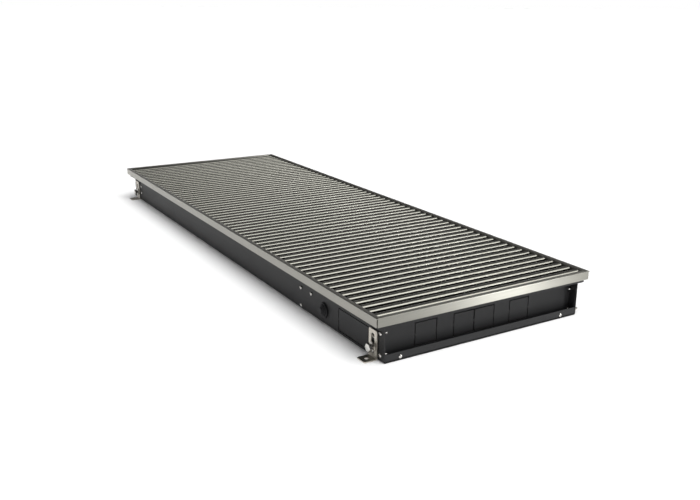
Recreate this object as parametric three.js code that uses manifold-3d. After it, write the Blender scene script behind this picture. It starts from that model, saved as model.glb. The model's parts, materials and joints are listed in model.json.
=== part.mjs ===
// Trench convector heater: a floor-recessed trough with a mitred aluminium frame, a roll-up
// grille, a finned heat exchanger and a tangential fan unit.
// Millimetres. X runs across the trough, Y along it, +Z up. The origin is at the middle of the
// rectangle that the four foot plates stand on. The long side with the cable grommet faces -X.

import * as THREE from 'three';
import { mergeGeometries, mergeVertices } from 'three/addons/utils/BufferGeometryUtils.js';
import Module from 'manifold-3d';

const wasm = await Module();
wasm.setup();

// ---------------------------------------------------------------- driving sizes

// clearances
const GAP = 0.3; // between pieces that rest on or against each other
const HOLE_PLAY = 0.4; // radial play of a screw or shank in its hole

// edge frame
const FRAME_WIDTH = 440;
const FRAME_LENGTH = 1272;
const FRAME_TOP = 80; // above the foot plates' underside
const FRAME_LEG = 15; // height of the outer face
const FRAME_TOP_BAND = 8; // width of the visible top band
const FRAME_WALL = 1.6;
const FRAME_LEDGE = 20; // inner edge of the ledge, from the outer face
const FRAME_EDGE = 0.5; // chamfer on the outer top edge
const LEG_RELIEF = 2; // the outer leg stops this far short of a corner
const KEY_LEG = 34;
const KEY_HEIGHT = 10;

// trough
const SHEET = 1.2;
const BEND = 0.8; // inside radius of a fold
const BEND_STEPS = 2;
const TROUGH_INSET = 19; // side wall, from the frame's outer face
const TROUGH_END_INSET = 7;
const TROUGH_FLOOR = 0.5; // underside above the foot plates' underside
const RIM_INSET = 6.6; // outer edge of the rim flange, from the frame's outer face
const RIM_LIP = 4.5; // height of the rim's turned-down lip, from the rim's top
const SILL_TOP = 14; // top of the end sill above the floor's underside
const SILL_DEPTH = 12; // foot of the end sill along the floor
const SILL_CORNER = 4;

// end plates
const END_PLATE_INSET = 23;
const END_FLANGE = 14.5; // depth of the side flanges
const END_SCREW_INSET = 17.5;
const END_SCREW_HEIGHTS = [46.6, 10.9];

// knock-outs: an open slit all round but for small bridges
const SLIT = 0.9;
const SLIT_BRIDGE = 2.4;
const KNOCKOUT_WIDTH = 41.8;
const KNOCKOUT_HEIGHT = 39;
const KNOCKOUT_CENTRE_HEIGHT = 28.5;
const KNOCKOUT_PLACES = [-112.5, -36.4, 5.4, 81.2]; // across, from the middle
const SIDE_KNOCKOUT_LENGTH = 91;
const SIDE_KNOCKOUT_CENTRE_HEIGHT = 25.5;
const SIDE_KNOCKOUT_PLACE = 98.5; // centre, from the frame's near end

// roll-up grille
const BAR_PITCH = 20.5;
const BAR_END_ROOM = 15; // least distance from the frame's end to the first and last bar
const BAR_WIDTH = 11;
const BAR_FOOT = 9; // width of a bar at its underside
const BAR_HEIGHT = 12;
const BAR_CROWN = 3; // rise of the arched top
const BAR_CROWN_STEPS = 4;
const BAR_DROP = 0.8; // bar tops below the frame's top
const BAR_END_GAP = 2.5; // from the frame's top band to a bar's end
const TIE_ROD = 4.4;
const TIE_ROD_PLACES = [-118, 118];
const TIE_ROD_HEIGHT = 4.6; // centre above a bar's underside
const TIE_ROD_OVERHANG = 3;
const STRIP_THICKNESS = 1.2;
const STRIP_WIDTH = 10;

// cable grommet
const GROMMET_PLACE = 193; // from the frame's near end
const GROMMET_HEIGHT = 25;
const GROMMET_RADIUS = 14;
const GROMMET_NECK = 11;
const GROMMET_FLANGE = 4;
const GROMMET_NOSE = 5; // how far the stepped cone stands out of its flange
const GROMMET_SIDES = 16;

// pan-head screws
const SCREW_HEAD = 3.4;
const SCREW_SHANK = 1.75;
const SCREW_HEAD_HEIGHT = 2.2;
const SCREW_LENGTH = 9;
const SCREW_SIDES = 8;

// levelling feet
const FOOT_PLACE = 35.5; // middle of a foot bracket, from the frame's end
const FOOT_WIDTH = 23;
const FOOT_SHEET = 2;
const FOOT_TOP = 48;
const FOOT_REACH = 22; // foot plate, outwards from the bracket's outer face
const FOOT_SLOT_WIDTH = 9;
const FOOT_SLOT_TOP = 42;
const FOOT_SLOT_LENGTH = 34;
const FOOT_HOLE = 3.5;
const FOOT_CORNER = 3;
const BUSH_FLANGE = 0.6;
const BUSH_RADIUS = 6.5;
const BUSH_DEPTH = 7;
const BUSH_LOW = 19; // height of the bush that takes the clamp bolt
const BUSH_RISE = 20; // from it to the spare bush above
const BOLT_RADIUS = 4;
const BOLT_ACROSS_FLATS = 13;
const BOLT_HEAD = 5.3;
const BOLT_STAND_OFF = 5; // the head stands this far off its washer
const BOLT_PAST_BUSH = 2;
const BOLT_CHAMFER = 0.8;
const WASHER_RADIUS = 9;
const WASHER_THICKNESS = 1.6;
const WASHER_SIDES = 12;

// heat exchanger
const TUBE_RADIUS = 7.5;
const TUBE_INSET = 75; // outer tube, from the frame's outer face
const TUBE_SPAN = 50;
const TUBE_HEIGHT = 32;
const TUBE_SIDES = 8;
const COLLAR_WALL = 1;
const COLLAR_SIDES = 6;
const FIN_COUNT = 24;
const FIN_THICKNESS = 0.6;
const FIN_HEIGHT = 50;
const FIN_MARGIN = 25; // fin beyond the outer tube centres
const PACK_START = 300; // from the frame's near end
const PACK_FAR_ROOM = 92; // from the pack's far end to the frame's far end
const BRACKET_OFFSET = 8; // support brackets, outside the fin pack
const BRACKET_FLANGE = 12;
const BRACKET_NOTCH = 6;

// connection block
const BLOCK_LENGTH = 20;
const BLOCK_START = 266;
const BLOCK_RADIUS = 13;
const BLOCK_WEB = 12;
const NIPPLE_RADIUS = 9.5;
const NIPPLE_LENGTH = 22;
const NIPPLE_BORE = 6.5;
const UNION_ACROSS_FLATS = 30;
const UNION_LENGTH = 13;
const VENT_BOSS = 7;
const VENT_BOSS_RISE = 19; // boss top above the tube centres
const VENT_BORE = 3.4;
const VENT_SCREW = 2.8;
const VENT_HEAD = 4.5;
const VENT_HEAD_HEIGHT = 2.8;
const VENT_SLOT = 1;

// fan unit
const FAN_START = 283; // fan end plates, from the frame's near end
const FAN_FAR_ROOM = 69; // from the far fan end plate to the frame's far end
const FAN_SHEET = 1.2;
const FAN_AXIS_INSET = 37; // rotor axis, from the inside of the side wall
const FAN_AXIS_HEIGHT = 34;
const ROTOR_RADIUS = 22.5;
const ROTOR_CLEARANCE = 5; // to the scroll's floor
const SCROLL_WALL_GAP = 3; // scroll to side wall
const SCROLL_STEPS = 5;
const FAN_TOP = 60;
const FAN_OUTLET = 45; // outlet edge of scroll and end plates, from the rotor axis
const TONGUE_CLEARANCE = 3;
const TONGUE_LIP = 16;
const FAN_FLANGE = 14;
const FAN_CORNER = 8;
const BLADE_COUNT = 14;
const BLADE_DEPTH = 6;
const BLADE_THICKNESS = 0.8;
const BLADE_PITCH_ANGLE = Math.PI / 5;
const ROTOR_DISC = 2;
const ROTOR_SIDES = 20;
const ROTOR_END_GAP = 5;
const HUB_RADIUS = 7;
const HUB_LENGTH = 9;
const SHAFT_RADIUS = 3;
const MOTOR_RADIUS = 24;
const MOTOR_LENGTH = 56;
const MOTOR_FACE_GAP = 4; // from an end shield to a rotor
const MOTOR_SHIELD = 10; // length of an end shield with its shoulder
const MOTOR_STEP = 5; // end shields are this much smaller than the body
const MOTOR_SADDLE = 20; // width of the foot under the motor, on the outlet side of the axis
const BUSHING_RADIUS = 8;
const BUSHING_LENGTH = 5;
const BUSHING_SIDES = 12;
const FAN_NEAR_SCREWS = [39.8, 7]; // heights, near end plate
const FAN_FAR_SCREWS = [39.2, 21.8]; // heights, far end plate
const FAN_SCREW_INSET = 7; // screws, from the folded edge of a fan end plate

// control box
const BOX_START = 219;
const BOX_LENGTH = 44;
const BOX_DEPTH = 50;
const BOX_HEIGHT = 44;
const BOX_WALL = 2;
const BOX_LID = 3;
const BOX_SCREW_PLACE = 238.3;
const BOX_SCREW_HEIGHT = 39.9;
const BOX_FLOOR_GAP = 3; // stand-off ribs under the box

// spreader bar
const SPREADER_PLACE = 206; // from the frame's near end
const SPREADER_WIDTH = 15;
const SPREADER_HEIGHT = 11;
const SPREADER_TOP = 60;

// ---------------------------------------------------------------- derived places

const NEAR_END = -FRAME_LENGTH / 2;
const along = (distance) => NEAR_END + distance;
const LEDGE_TOP = FRAME_TOP - BAR_DROP - BAR_HEIGHT - STRIP_THICKNESS - 2 * GAP;
const RIM_TOP = LEDGE_TOP - FRAME_WALL - GAP;
const WALL_OUTSIDE = FRAME_WIDTH / 2 - TROUGH_INSET;
const WALL_INSIDE = WALL_OUTSIDE - SHEET;
const RIM_OUTSIDE = FRAME_WIDTH / 2 - RIM_INSET;
const FLOOR_TOP = TROUGH_FLOOR + SHEET;
const TROUGH_LENGTH = FRAME_LENGTH - 2 * TROUGH_END_INSET;
const BAR_TOP = FRAME_TOP - BAR_DROP;
const BAR_BOTTOM = BAR_TOP - BAR_HEIGHT;
const BAR_LENGTH = FRAME_WIDTH - 2 * (FRAME_TOP_BAND + BAR_END_GAP);
const BAR_COUNT = 1 + Math.floor((FRAME_LENGTH - 2 * BAR_END_ROOM - BAR_WIDTH) / BAR_PITCH);
const FIRST_BAR = -(BAR_COUNT - 1) * BAR_PITCH / 2;
const PACK_LENGTH = FRAME_LENGTH - PACK_START - PACK_FAR_ROOM;
const FAN_NEAR = along(FAN_START);
const FAN_FAR = FRAME_LENGTH / 2 - FAN_FAR_ROOM;
const FAN_MIDDLE = (FAN_NEAR + FAN_FAR) / 2;
const FOOT_INSIDE = WALL_OUTSIDE + BUSH_FLANGE + GAP;
const FOOT_OUTSIDE = FOOT_INSIDE + FOOT_SHEET;
const FAN_AXIS_X = -WALL_INSIDE + FAN_AXIS_INSET;
const OUTER_TUBE = FRAME_WIDTH / 2 - TUBE_INSET;
const TUBE_PLACES = [OUTER_TUBE - TUBE_SPAN, OUTER_TUBE];
const TUBE_MIDDLE = OUTER_TUBE - TUBE_SPAN / 2;

// ---------------------------------------------------------------- finishes

const finish = (color, roughness, metalness) => ({ color, roughness, metalness });
const ALUMINIUM = finish('#a5a49e', 0.38, 1);
const GRILLE_ALUMINIUM = finish('#b4b3ae', 0.32, 1);
const BLACK_COAT = finish('#2f2f31', 0.55, 0);
const ZINC = finish('#b0aca4', 0.35, 1);
const BRIGHT_STEEL = finish('#d6d4d0', 0.25, 1);
const RUBBER = finish('#17171a', 0.8, 0);
const DARK_KEY = finish('#3a3a3a', 0.6, 0);
const FIN_ALUMINIUM = finish('#c9cbcc', 0.4, 1);
const COPPER = finish('#b06a44', 0.35, 1);
const BRASS = finish('#c2a35a', 0.35, 1);
const GALVANISED = finish('#9b9ea0', 0.45, 1);
const BLACK_PLASTIC = finish('#1f2022', 0.5, 0);
const GREY_PLASTIC = finish('#5c5f62', 0.55, 0);

// ---------------------------------------------------------------- solids

// Frames that turn a section drawn in X and Y so that it is extruded along another axis.
const ALONG_X = new THREE.Matrix4().makeBasis(
  new THREE.Vector3(0, 1, 0), new THREE.Vector3(0, 0, 1), new THREE.Vector3(1, 0, 0));
const ALONG_Y = new THREE.Matrix4().makeBasis(
  new THREE.Vector3(-1, 0, 0), new THREE.Vector3(0, 0, 1), new THREE.Vector3(0, 1, 0));

const unshared = (geometry) => (geometry.index ? geometry.toNonIndexed() : geometry.clone());

function solid(geometry) {
  const bare = unshared(geometry);
  bare.deleteAttribute('normal');
  bare.deleteAttribute('uv');
  const merged = mergeVertices(bare, 1e-5);
  return new wasm.Manifold(new wasm.Mesh({
    numProp: 3,
    vertProperties: new Float32Array(merged.attributes.position.array),
    triVerts: new Uint32Array(merged.index.array),
  }));
}

function geometryOf(manifold) {
  const mesh = manifold.getMesh();
  const geometry = new THREE.BufferGeometry();
  geometry.setAttribute('position', new THREE.BufferAttribute(mesh.vertProperties, 3));
  geometry.setIndex(new THREE.BufferAttribute(mesh.triVerts, 1));
  geometry.computeVertexNormals();
  return geometry;
}

const shapeOf = (points) => new THREE.Shape(points.map(([x, y]) => new THREE.Vector2(x, y)));

// Extrudes an outline from one height to another along +Z.
function slab(outline, low, high) {
  const geometry = new THREE.ExtrudeGeometry(outline, {
    depth: high - low, bevelEnabled: false, curveSegments: 6,
  });
  return geometry.translate(0, 0, low);
}

// Extrudes a section drawn across (x) and up (y) along the trough, from one place to another.
// The section is mirrored into the turned frame, so its first coordinate is negated here.
function lengthwise(points, from, to) {
  const mirrored = points.map(([across, up]) => [-across, up]);
  return slab(shapeOf(mirrored), from, to).applyMatrix4(ALONG_Y);
}

// Extrudes a section drawn along (x) and up (y) across the trough.
function crosswise(points, from, to) {
  return slab(shapeOf(points), from, to).applyMatrix4(ALONG_X);
}

// A block between two corners.
function block([x0, y0, z0], [x1, y1, z1]) {
  const size = [x1 - x0, y1 - y0, z1 - z0];
  return new THREE.BoxGeometry(...size).translate((x0 + x1) / 2, (y0 + y1) / 2, (z0 + z1) / 2);
}

// A round bar with its axis along X, centred on (x, y, z).
function barAcross(radius, length, sides, x, y, z) {
  return new THREE.CylinderGeometry(radius, radius, length, sides)
    .rotateY(Math.PI / sides).rotateZ(Math.PI / 2).translate(x, y, z);
}

// A round bar with its axis along Y.
function barAlong(radius, length, sides, x, y, z) {
  return new THREE.CylinderGeometry(radius, radius, length, sides)
    .rotateY(Math.PI / sides).translate(x, y, z);
}

// An upright round bar.
function barUpright(radius, length, sides, x, y, z) {
  return new THREE.CylinderGeometry(radius, radius, length, sides)
    .rotateX(Math.PI / 2).translate(x, y, z);
}

const cut = (body, ...tools) => tools.reduce((left, tool) => left.subtract(solid(tool)), body);
const join = (...geometries) => geometries.map(solid).reduce((left, right) => left.add(right));

// The outline of a folded sheet whose middle runs along the path. Folds are rounded.
function foldedSheet(path, thickness, bend = BEND) {
  const half = thickness / 2;
  const left = [];
  const right = [];
  const points = path.map(([x, y]) => new THREE.Vector2(x, y));
  points.forEach((point, index) => {
    const arriving = index > 0 ? point.clone().sub(points[index - 1]).normalize() : null;
    const leaving = index < points.length - 1
      ? points[index + 1].clone().sub(point).normalize() : null;
    if (!arriving || !leaving) {
      const heading = arriving ?? leaving;
      const side = new THREE.Vector2(-heading.y, heading.x).multiplyScalar(half);
      left.push(point.clone().add(side));
      right.push(point.clone().sub(side));
      return;
    }
    const turn = Math.atan2(arriving.cross(leaving), arriving.dot(leaving));
    const hand = Math.sign(turn);
    const middle = bend + half;
    const setback = middle * Math.tan(Math.abs(turn) / 2);
    const normal = new THREE.Vector2(-arriving.y, arriving.x).multiplyScalar(hand);
    const centre = point.clone().addScaledVector(arriving, -setback)
      .addScaledVector(normal, middle);
    const steps = bend > 0 ? BEND_STEPS : 1;
    for (let step = 0; step <= steps; step += 1) {
      const spoke = normal.clone().negate().rotateAround(new THREE.Vector2(), turn * step / steps);
      const inner = centre.clone().addScaledVector(spoke, bend);
      const outer = centre.clone().addScaledVector(spoke, bend + thickness);
      left.push(hand > 0 ? inner : outer);
      right.push(hand > 0 ? outer : inner);
    }
  });
  return [...right, ...left.reverse()].map(({ x, y }) => [x, y]);
}

// Two open slits that outline a knock-out and leave a bridge in the middle of each side.
function knockoutSlits(width, height, centre, centreHeight) {
  const side = width / 2;
  const rise = height / 2;
  return [1, -1].map((up) => [
    [centre - side, centreHeight + up * SLIT_BRIDGE / 2],
    [centre - side, centreHeight + up * rise],
    [centre + side, centreHeight + up * rise],
    [centre + side, centreHeight + up * SLIT_BRIDGE / 2],
  ]).map((path) => mitredStrip(path, SLIT));
}

// The outline of a strip of even width along a path, with square outer corners.
function mitredStrip(path, width) {
  const half = width / 2;
  const points = path.map(([x, y]) => new THREE.Vector2(x, y));
  const side = (sign) => points.map((point, index) => {
    const before = points[index - 1] ?? point.clone().multiplyScalar(2).sub(points[index + 1]);
    const after = points[index + 1] ?? point.clone().multiplyScalar(2).sub(points[index - 1]);
    const arriving = point.clone().sub(before).normalize();
    const leaving = after.clone().sub(point).normalize();
    const bisector = arriving.clone().add(leaving).normalize();
    const reach = half / Math.max(bisector.dot(arriving), 0.2);
    return [point.x - bisector.y * reach * sign, point.y + bisector.x * reach * sign];
  });
  return [...side(-1), ...side(1).reverse()];
}

// A rectangle with its corners cut at 45 degrees, as the points of an outline.
function cutCornerRectangle(x0, y0, x1, y1, corner) {
  return [
    [x0 + corner, y0], [x1 - corner, y0], [x1, y0 + corner], [x1, y1 - corner],
    [x1 - corner, y1], [x0 + corner, y1], [x0, y1 - corner], [x0, y0 + corner],
  ];
}

// A rectangle with only its two upper corners cut.
function cutTopRectangle(x0, y0, x1, y1, corner) {
  return [
    [x0, y0], [x1, y0], [x1, y1 - corner], [x1 - corner, y1], [x0 + corner, y1], [x0, y1 - corner],
  ];
}

// ---------------------------------------------------------------- the assembly

const heater = new THREE.Group();
heater.name = 'trench_convector_heater';

function add(name, shape, { color, roughness, metalness }, parent = heater) {
  const geometry = shape.isBufferGeometry ? shape : geometryOf(shape);
  const material = new THREE.MeshStandardMaterial({ color, roughness, metalness });
  const mesh = new THREE.Mesh(geometry, material);
  mesh.name = name;
  parent.add(mesh);
  return mesh;
}

const SIDES = [['left', -1], ['right', 1]];
const ENDS = [['near', -1], ['far', 1]];
const CORNERS = ENDS.flatMap(([end, toEnd]) => SIDES.map(([side, toSide]) => (
  { name: `${end}_${side}`, toEnd, toSide })));

// ---------------------------------------------------------------- trough and end plates

// Threaded bushes of the feet: two above each other in each corner of the side walls.
const BUSHES = CORNERS.flatMap(({ toEnd, toSide }) => [BUSH_LOW, BUSH_LOW + BUSH_RISE].map(
  (height) => ({ toSide, y: toEnd * (FRAME_LENGTH / 2 - FOOT_PLACE), height })));

// Every screw that passes through a side wall.
const END_SCREWS = CORNERS.flatMap(({ name, toEnd, toSide }) => END_SCREW_HEIGHTS.map(
  (height, index) => ({
    name: `end_plate_screw_${name}_${index + 1}`,
    toSide,
    y: toEnd * (FRAME_LENGTH / 2 - END_SCREW_INSET),
    height,
  })));
const FAN_SCREWS = [
  ...FAN_NEAR_SCREWS.map((height, index) => (
    { name: `fan_screw_near_${index + 1}`, y: FAN_NEAR - FAN_SCREW_INSET, height })),
  ...FAN_FAR_SCREWS.map((height, index) => (
    { name: `fan_screw_far_${index + 1}`, y: FAN_FAR + FAN_SCREW_INSET, height })),
].map((screw) => ({ ...screw, toSide: -1 }));
const BOX_SCREW = {
  name: 'control_box_screw', toSide: -1, y: along(BOX_SCREW_PLACE), height: BOX_SCREW_HEIGHT,
};
const WALL_SCREWS = [...END_SCREWS, ...FAN_SCREWS, BOX_SCREW];

function screwHole({ toSide, y, height }) {
  const reach = 4 * SHEET + 2 * BOX_WALL;
  return barAcross(SCREW_SHANK + HOLE_PLAY, reach, SCREW_SIDES, toSide * WALL_OUTSIDE, y, height);
}

function bushSolids({ toSide, y, height }) {
  const inside = WALL_OUTSIDE - SHEET - BUSH_DEPTH;
  const wallMiddle = WALL_OUTSIDE - SHEET / 2;
  const flangeTop = WALL_OUTSIDE + BUSH_FLANGE;
  const round = (radius, from, to) => barAcross(
    radius, to - from, SCREW_SIDES, toSide * (from + to) / 2, y, height);
  return [
    round(BUSH_RADIUS, wallMiddle, flangeTop),
    round(BUSH_RADIUS - 1, inside, wallMiddle),
  ];
}

function trough() {
  const rimMiddle = RIM_TOP - SHEET / 2;
  const wallMiddle = WALL_OUTSIDE - SHEET / 2;
  const lipMiddle = RIM_OUTSIDE - SHEET / 2;
  const half = [
    [wallMiddle, TROUGH_FLOOR + SHEET / 2],
    [wallMiddle, rimMiddle],
    [lipMiddle, rimMiddle],
    [lipMiddle, RIM_TOP - RIM_LIP],
  ];
  const path = [...half.map(([x, z]) => [-x, z]).reverse(), ...half];
  const halfLength = TROUGH_LENGTH / 2;
  const body = join(
    lengthwise(foldedSheet(path, SHEET), -halfLength, halfLength),
    ...BUSHES.flatMap(bushSolids));
  return cut(body,
    ...BUSHES.map(({ toSide, y, height }) => barAcross(
      BOLT_RADIUS + GAP, 4 * BUSH_DEPTH, SCREW_SIDES, toSide * WALL_OUTSIDE, y, height)),
    ...WALL_SCREWS.map(screwHole),
    barAcross(GROMMET_NECK + GAP, 4 * SHEET, GROMMET_SIDES,
      -WALL_OUTSIDE, along(GROMMET_PLACE), GROMMET_HEIGHT),
    ...knockoutSlits(SIDE_KNOCKOUT_LENGTH, KNOCKOUT_HEIGHT, along(SIDE_KNOCKOUT_PLACE),
      SIDE_KNOCKOUT_CENTRE_HEIGHT).map((outline) => crosswise(
      outline, -WALL_OUTSIDE - SHEET, -WALL_INSIDE + SHEET)));
}

// An angle on the floor's end, between the end plate's side flanges, drawn for the near end.
function endSill() {
  const front = NEAR_END + TROUGH_END_INSET;
  const bottom = FLOOR_TOP + GAP;
  const top = TROUGH_FLOOR + SILL_TOP;
  const halfWidth = WALL_INSIDE - 2 * GAP - SHEET;
  const angle = foldedSheet([
    [front + SHEET / 2, top], [front + SHEET / 2, bottom + SHEET / 2],
    [front + SILL_DEPTH, bottom + SHEET / 2],
  ], SHEET);
  const outline = cutTopRectangle(-halfWidth, bottom, halfWidth, top, SILL_CORNER);
  return solid(crosswise(angle, -halfWidth, halfWidth))
    .intersect(solid(lengthwise(outline, front - 1, front + SILL_DEPTH + 1)));
}

// Drawn for the near end; the far end has the same plate turned about.
function endPlate() {
  const inside = WALL_INSIDE - GAP;
  const plateMiddle = NEAR_END + END_PLATE_INSET + SHEET / 2;
  const flangeMiddle = inside - SHEET / 2;
  const flangeFront = NEAR_END + END_PLATE_INSET - END_FLANGE;
  const lipBack = NEAR_END + TROUGH_END_INSET - GAP;
  const rimMiddle = RIM_TOP - SHEET / 2;
  const tray = foldedSheet([
    [-flangeMiddle, flangeFront], [-flangeMiddle, plateMiddle],
    [flangeMiddle, plateMiddle], [flangeMiddle, flangeFront],
  ], SHEET);
  const rim = foldedSheet([
    [plateMiddle, rimMiddle - END_FLANGE], [plateMiddle, rimMiddle],
    [lipBack - SHEET / 2, rimMiddle], [lipBack - SHEET / 2, RIM_TOP - RIM_LIP],
  ], SHEET);
  const plateEdge = flangeMiddle - BEND - SHEET / 2;
  const lip = block([-RIM_OUTSIDE, lipBack - SHEET, RIM_TOP - RIM_LIP],
    [RIM_OUTSIDE, lipBack, RIM_TOP - BEND]);
  const body = join(
    slab(shapeOf(tray), FLOOR_TOP + GAP, rimMiddle - BEND - SHEET / 2),
    crosswise(rim, -plateEdge, plateEdge),
    lip);
  const nearScrews = END_SCREWS.filter(({ y }) => y < 0);
  const slits = KNOCKOUT_PLACES.flatMap((place) => knockoutSlits(
    KNOCKOUT_WIDTH, KNOCKOUT_HEIGHT, place, KNOCKOUT_CENTRE_HEIGHT));
  return cut(body,
    ...nearScrews.map(screwHole),
    ...slits.map((outline) => lengthwise(outline, plateMiddle - SHEET, plateMiddle + SHEET)));
}

add('trough', trough(), BLACK_COAT);
const plate = geometryOf(endPlate());
add('end_plate_near', plate, BLACK_COAT);
add('end_plate_far', plate.clone(), BLACK_COAT).rotation.z = Math.PI;
const sill = geometryOf(endSill());
add('end_sill_near', sill, BLACK_COAT);
add('end_sill_far', sill.clone(), BLACK_COAT).rotation.z = Math.PI;

// ---------------------------------------------------------------- edge frame

// Local axes: x along the side from its first corner, y inwards, z up with the top face at 0.
function frameProfile(length) {
  const ledgeTop = LEDGE_TOP - FRAME_TOP;
  const innerLeg = FRAME_TOP_BAND - FRAME_WALL;
  const section = [
    [0, -FRAME_EDGE], [0, -FRAME_LEG], [FRAME_WALL, -FRAME_LEG], [FRAME_WALL, -FRAME_WALL],
    [innerLeg, -FRAME_WALL], [innerLeg, ledgeTop - FRAME_WALL], [FRAME_LEDGE, ledgeTop - FRAME_WALL],
    [FRAME_LEDGE, ledgeTop], [FRAME_TOP_BAND, ledgeTop], [FRAME_TOP_BAND, 0], [FRAME_EDGE, 0],
  ];
  const mitreGap = GAP / Math.SQRT2;
  const inner = FRAME_LEDGE + 1;
  const mitre = shapeOf([
    [mitreGap - 1, -1], [length - mitreGap + 1, -1],
    [length - mitreGap - inner, inner], [mitreGap + inner, inner],
  ]);
  const body = solid(crosswise(section, 0, length))
    .intersect(solid(slab(mitre, ledgeTop - 2 * FRAME_WALL, 1)));
  const relief = (from) => block(
    [from, -1, -FRAME_LEG - 1], [from + LEG_RELIEF + 1, (FRAME_WALL + innerLeg) / 2, -FRAME_WALL]);
  return cut(body, relief(-1), relief(length - LEG_RELIEF));
}

// An angle bracket that holds two mitred profiles together from inside their channel.
function cornerKey() {
  const outer = FRAME_WALL + GAP;
  const inner = FRAME_TOP_BAND - FRAME_WALL - GAP;
  const outline = shapeOf([
    [outer + 1, outer], [KEY_LEG - 1, outer], [KEY_LEG, outer + 1], [KEY_LEG, inner],
    [inner, inner], [inner, KEY_LEG], [outer + 1, KEY_LEG], [outer, KEY_LEG - 1], [outer, outer + 1],
  ]);
  const top = -FRAME_WALL - GAP;
  return slab(outline, top - KEY_HEIGHT, top);
}

// The four sides in turn, each with the corner at which it starts.
const FRAME_SIDES = [
  { name: 'near', length: FRAME_WIDTH, corner: [-1, -1], corners: 'near_left' },
  { name: 'right', length: FRAME_LENGTH, corner: [1, -1], corners: 'near_right' },
  { name: 'far', length: FRAME_WIDTH, corner: [1, 1], corners: 'far_right' },
  { name: 'left', length: FRAME_LENGTH, corner: [-1, 1], corners: 'far_left' },
];

FRAME_SIDES.forEach(({ name, length, corner, corners }, index) => {
  const side = new THREE.Group();
  side.position.set(corner[0] * FRAME_WIDTH / 2, corner[1] * FRAME_LENGTH / 2, FRAME_TOP);
  side.rotation.z = index * Math.PI / 2;
  heater.add(side);
  add(`frame_${name}`, frameProfile(length), ALUMINIUM, side);
  add(`corner_key_${corners}`, cornerKey(), DARK_KEY, side);
});

// ---------------------------------------------------------------- grille and its rest strips

function barSection() {
  const shoulder = BAR_HEIGHT - BAR_CROWN;
  const crown = Array.from({ length: BAR_CROWN_STEPS + 1 }, (_, step) => {
    const across = 1 - 2 * step / BAR_CROWN_STEPS;
    return [across * BAR_WIDTH / 2, shoulder + BAR_CROWN * Math.sqrt(1 - 0.9 * across ** 2)
      - BAR_CROWN * Math.sqrt(0.1) * across ** 2];
  });
  return [[-BAR_FOOT / 2, 0], [BAR_FOOT / 2, 0], ...crown];
}

// All the bars are threaded on two tie rods, which let the grille be rolled up.
function rollUpGrille() {
  const halfBar = BAR_LENGTH / 2;
  const section = barSection();
  const bars = Array.from({ length: BAR_COUNT }, (_, index) => (
    crosswise(section, -halfBar, halfBar).translate(0, FIRST_BAR + index * BAR_PITCH, BAR_BOTTOM)));
  const rodEnd = -FIRST_BAR + BAR_WIDTH / 2 + TIE_ROD_OVERHANG;
  const rods = TIE_ROD_PLACES.map((place) => block(
    [place - TIE_ROD / 2, -rodEnd, BAR_BOTTOM + TIE_ROD_HEIGHT - TIE_ROD / 2],
    [place + TIE_ROD / 2, rodEnd, BAR_BOTTOM + TIE_ROD_HEIGHT + TIE_ROD / 2]));
  return solid(mergeGeometries(bars.map(unshared))).add(join(...rods));
}

function restStrip() {
  const bottom = LEDGE_TOP + GAP;
  const edge = STRIP_THICKNESS / 3;
  const end = FRAME_LENGTH / 2 - FRAME_LEDGE - GAP;
  const inner = FRAME_TOP_BAND + GAP - FRAME_WIDTH / 2;
  return lengthwise([
    [inner, bottom], [inner + STRIP_WIDTH, bottom],
    [inner + STRIP_WIDTH, bottom + STRIP_THICKNESS - edge],
    [inner + STRIP_WIDTH - edge, bottom + STRIP_THICKNESS],
    [inner + edge, bottom + STRIP_THICKNESS], [inner, bottom + STRIP_THICKNESS - edge],
  ], -end, end);
}

add('roll_up_grille', rollUpGrille(), GRILLE_ALUMINIUM);
add('grille_rest_strip_left', restStrip(), RUBBER);
add('grille_rest_strip_right', restStrip(), RUBBER).rotation.z = Math.PI;

// ---------------------------------------------------------------- screws and grommet

// Turned about Y, then laid with its head towards +X. The underside of the head is at x = 0.
function panScrew() {
  const profile = [
    [0, -SCREW_LENGTH], [SCREW_SHANK, -SCREW_LENGTH + SCREW_SHANK], [SCREW_SHANK, 0],
    [SCREW_HEAD, 0], [SCREW_HEAD, SCREW_HEAD_HEIGHT / 2],
    [SCREW_HEAD * 0.65, SCREW_HEAD_HEIGHT], [0, SCREW_HEAD_HEIGHT],
  ].map(([radius, height]) => new THREE.Vector2(radius, height));
  return solid(new THREE.LatheGeometry(profile, SCREW_SIDES)
    .rotateY(Math.PI / SCREW_SIDES).rotateZ(-Math.PI / 2));
}

WALL_SCREWS.forEach(({ name, toSide, y, height }) => {
  const screw = add(name, panScrew(), BRIGHT_STEEL);
  screw.position.set(toSide * (WALL_OUTSIDE + GAP), y, height);
  if (toSide < 0) screw.rotation.z = Math.PI;
});

// A stepped cone with a groove that snaps over the edge of the hole in the side wall.
function cableGrommet() {
  const groove = SHEET + 2 * GAP;
  const profile = [
    [0, -groove - GROMMET_FLANGE], [GROMMET_NECK - 3, -groove - GROMMET_FLANGE],
    [GROMMET_NECK + 1.5, -groove], [GROMMET_NECK, -groove], [GROMMET_NECK, 0], [GROMMET_RADIUS, 0],
    [GROMMET_RADIUS, GROMMET_FLANGE - 1], [GROMMET_RADIUS - 1, GROMMET_FLANGE],
    [GROMMET_RADIUS * 0.72, GROMMET_FLANGE],
    [GROMMET_RADIUS * 0.6, GROMMET_FLANGE + GROMMET_NOSE / 2],
    [GROMMET_RADIUS * 0.42, GROMMET_FLANGE + GROMMET_NOSE / 2],
    [GROMMET_RADIUS * 0.3, GROMMET_FLANGE + GROMMET_NOSE],
    [0, GROMMET_FLANGE + GROMMET_NOSE],
  ].map(([radius, height]) => new THREE.Vector2(radius, height));
  return solid(new THREE.LatheGeometry(profile, GROMMET_SIDES)
    .rotateY(Math.PI / GROMMET_SIDES).rotateZ(Math.PI / 2));
}

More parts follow.
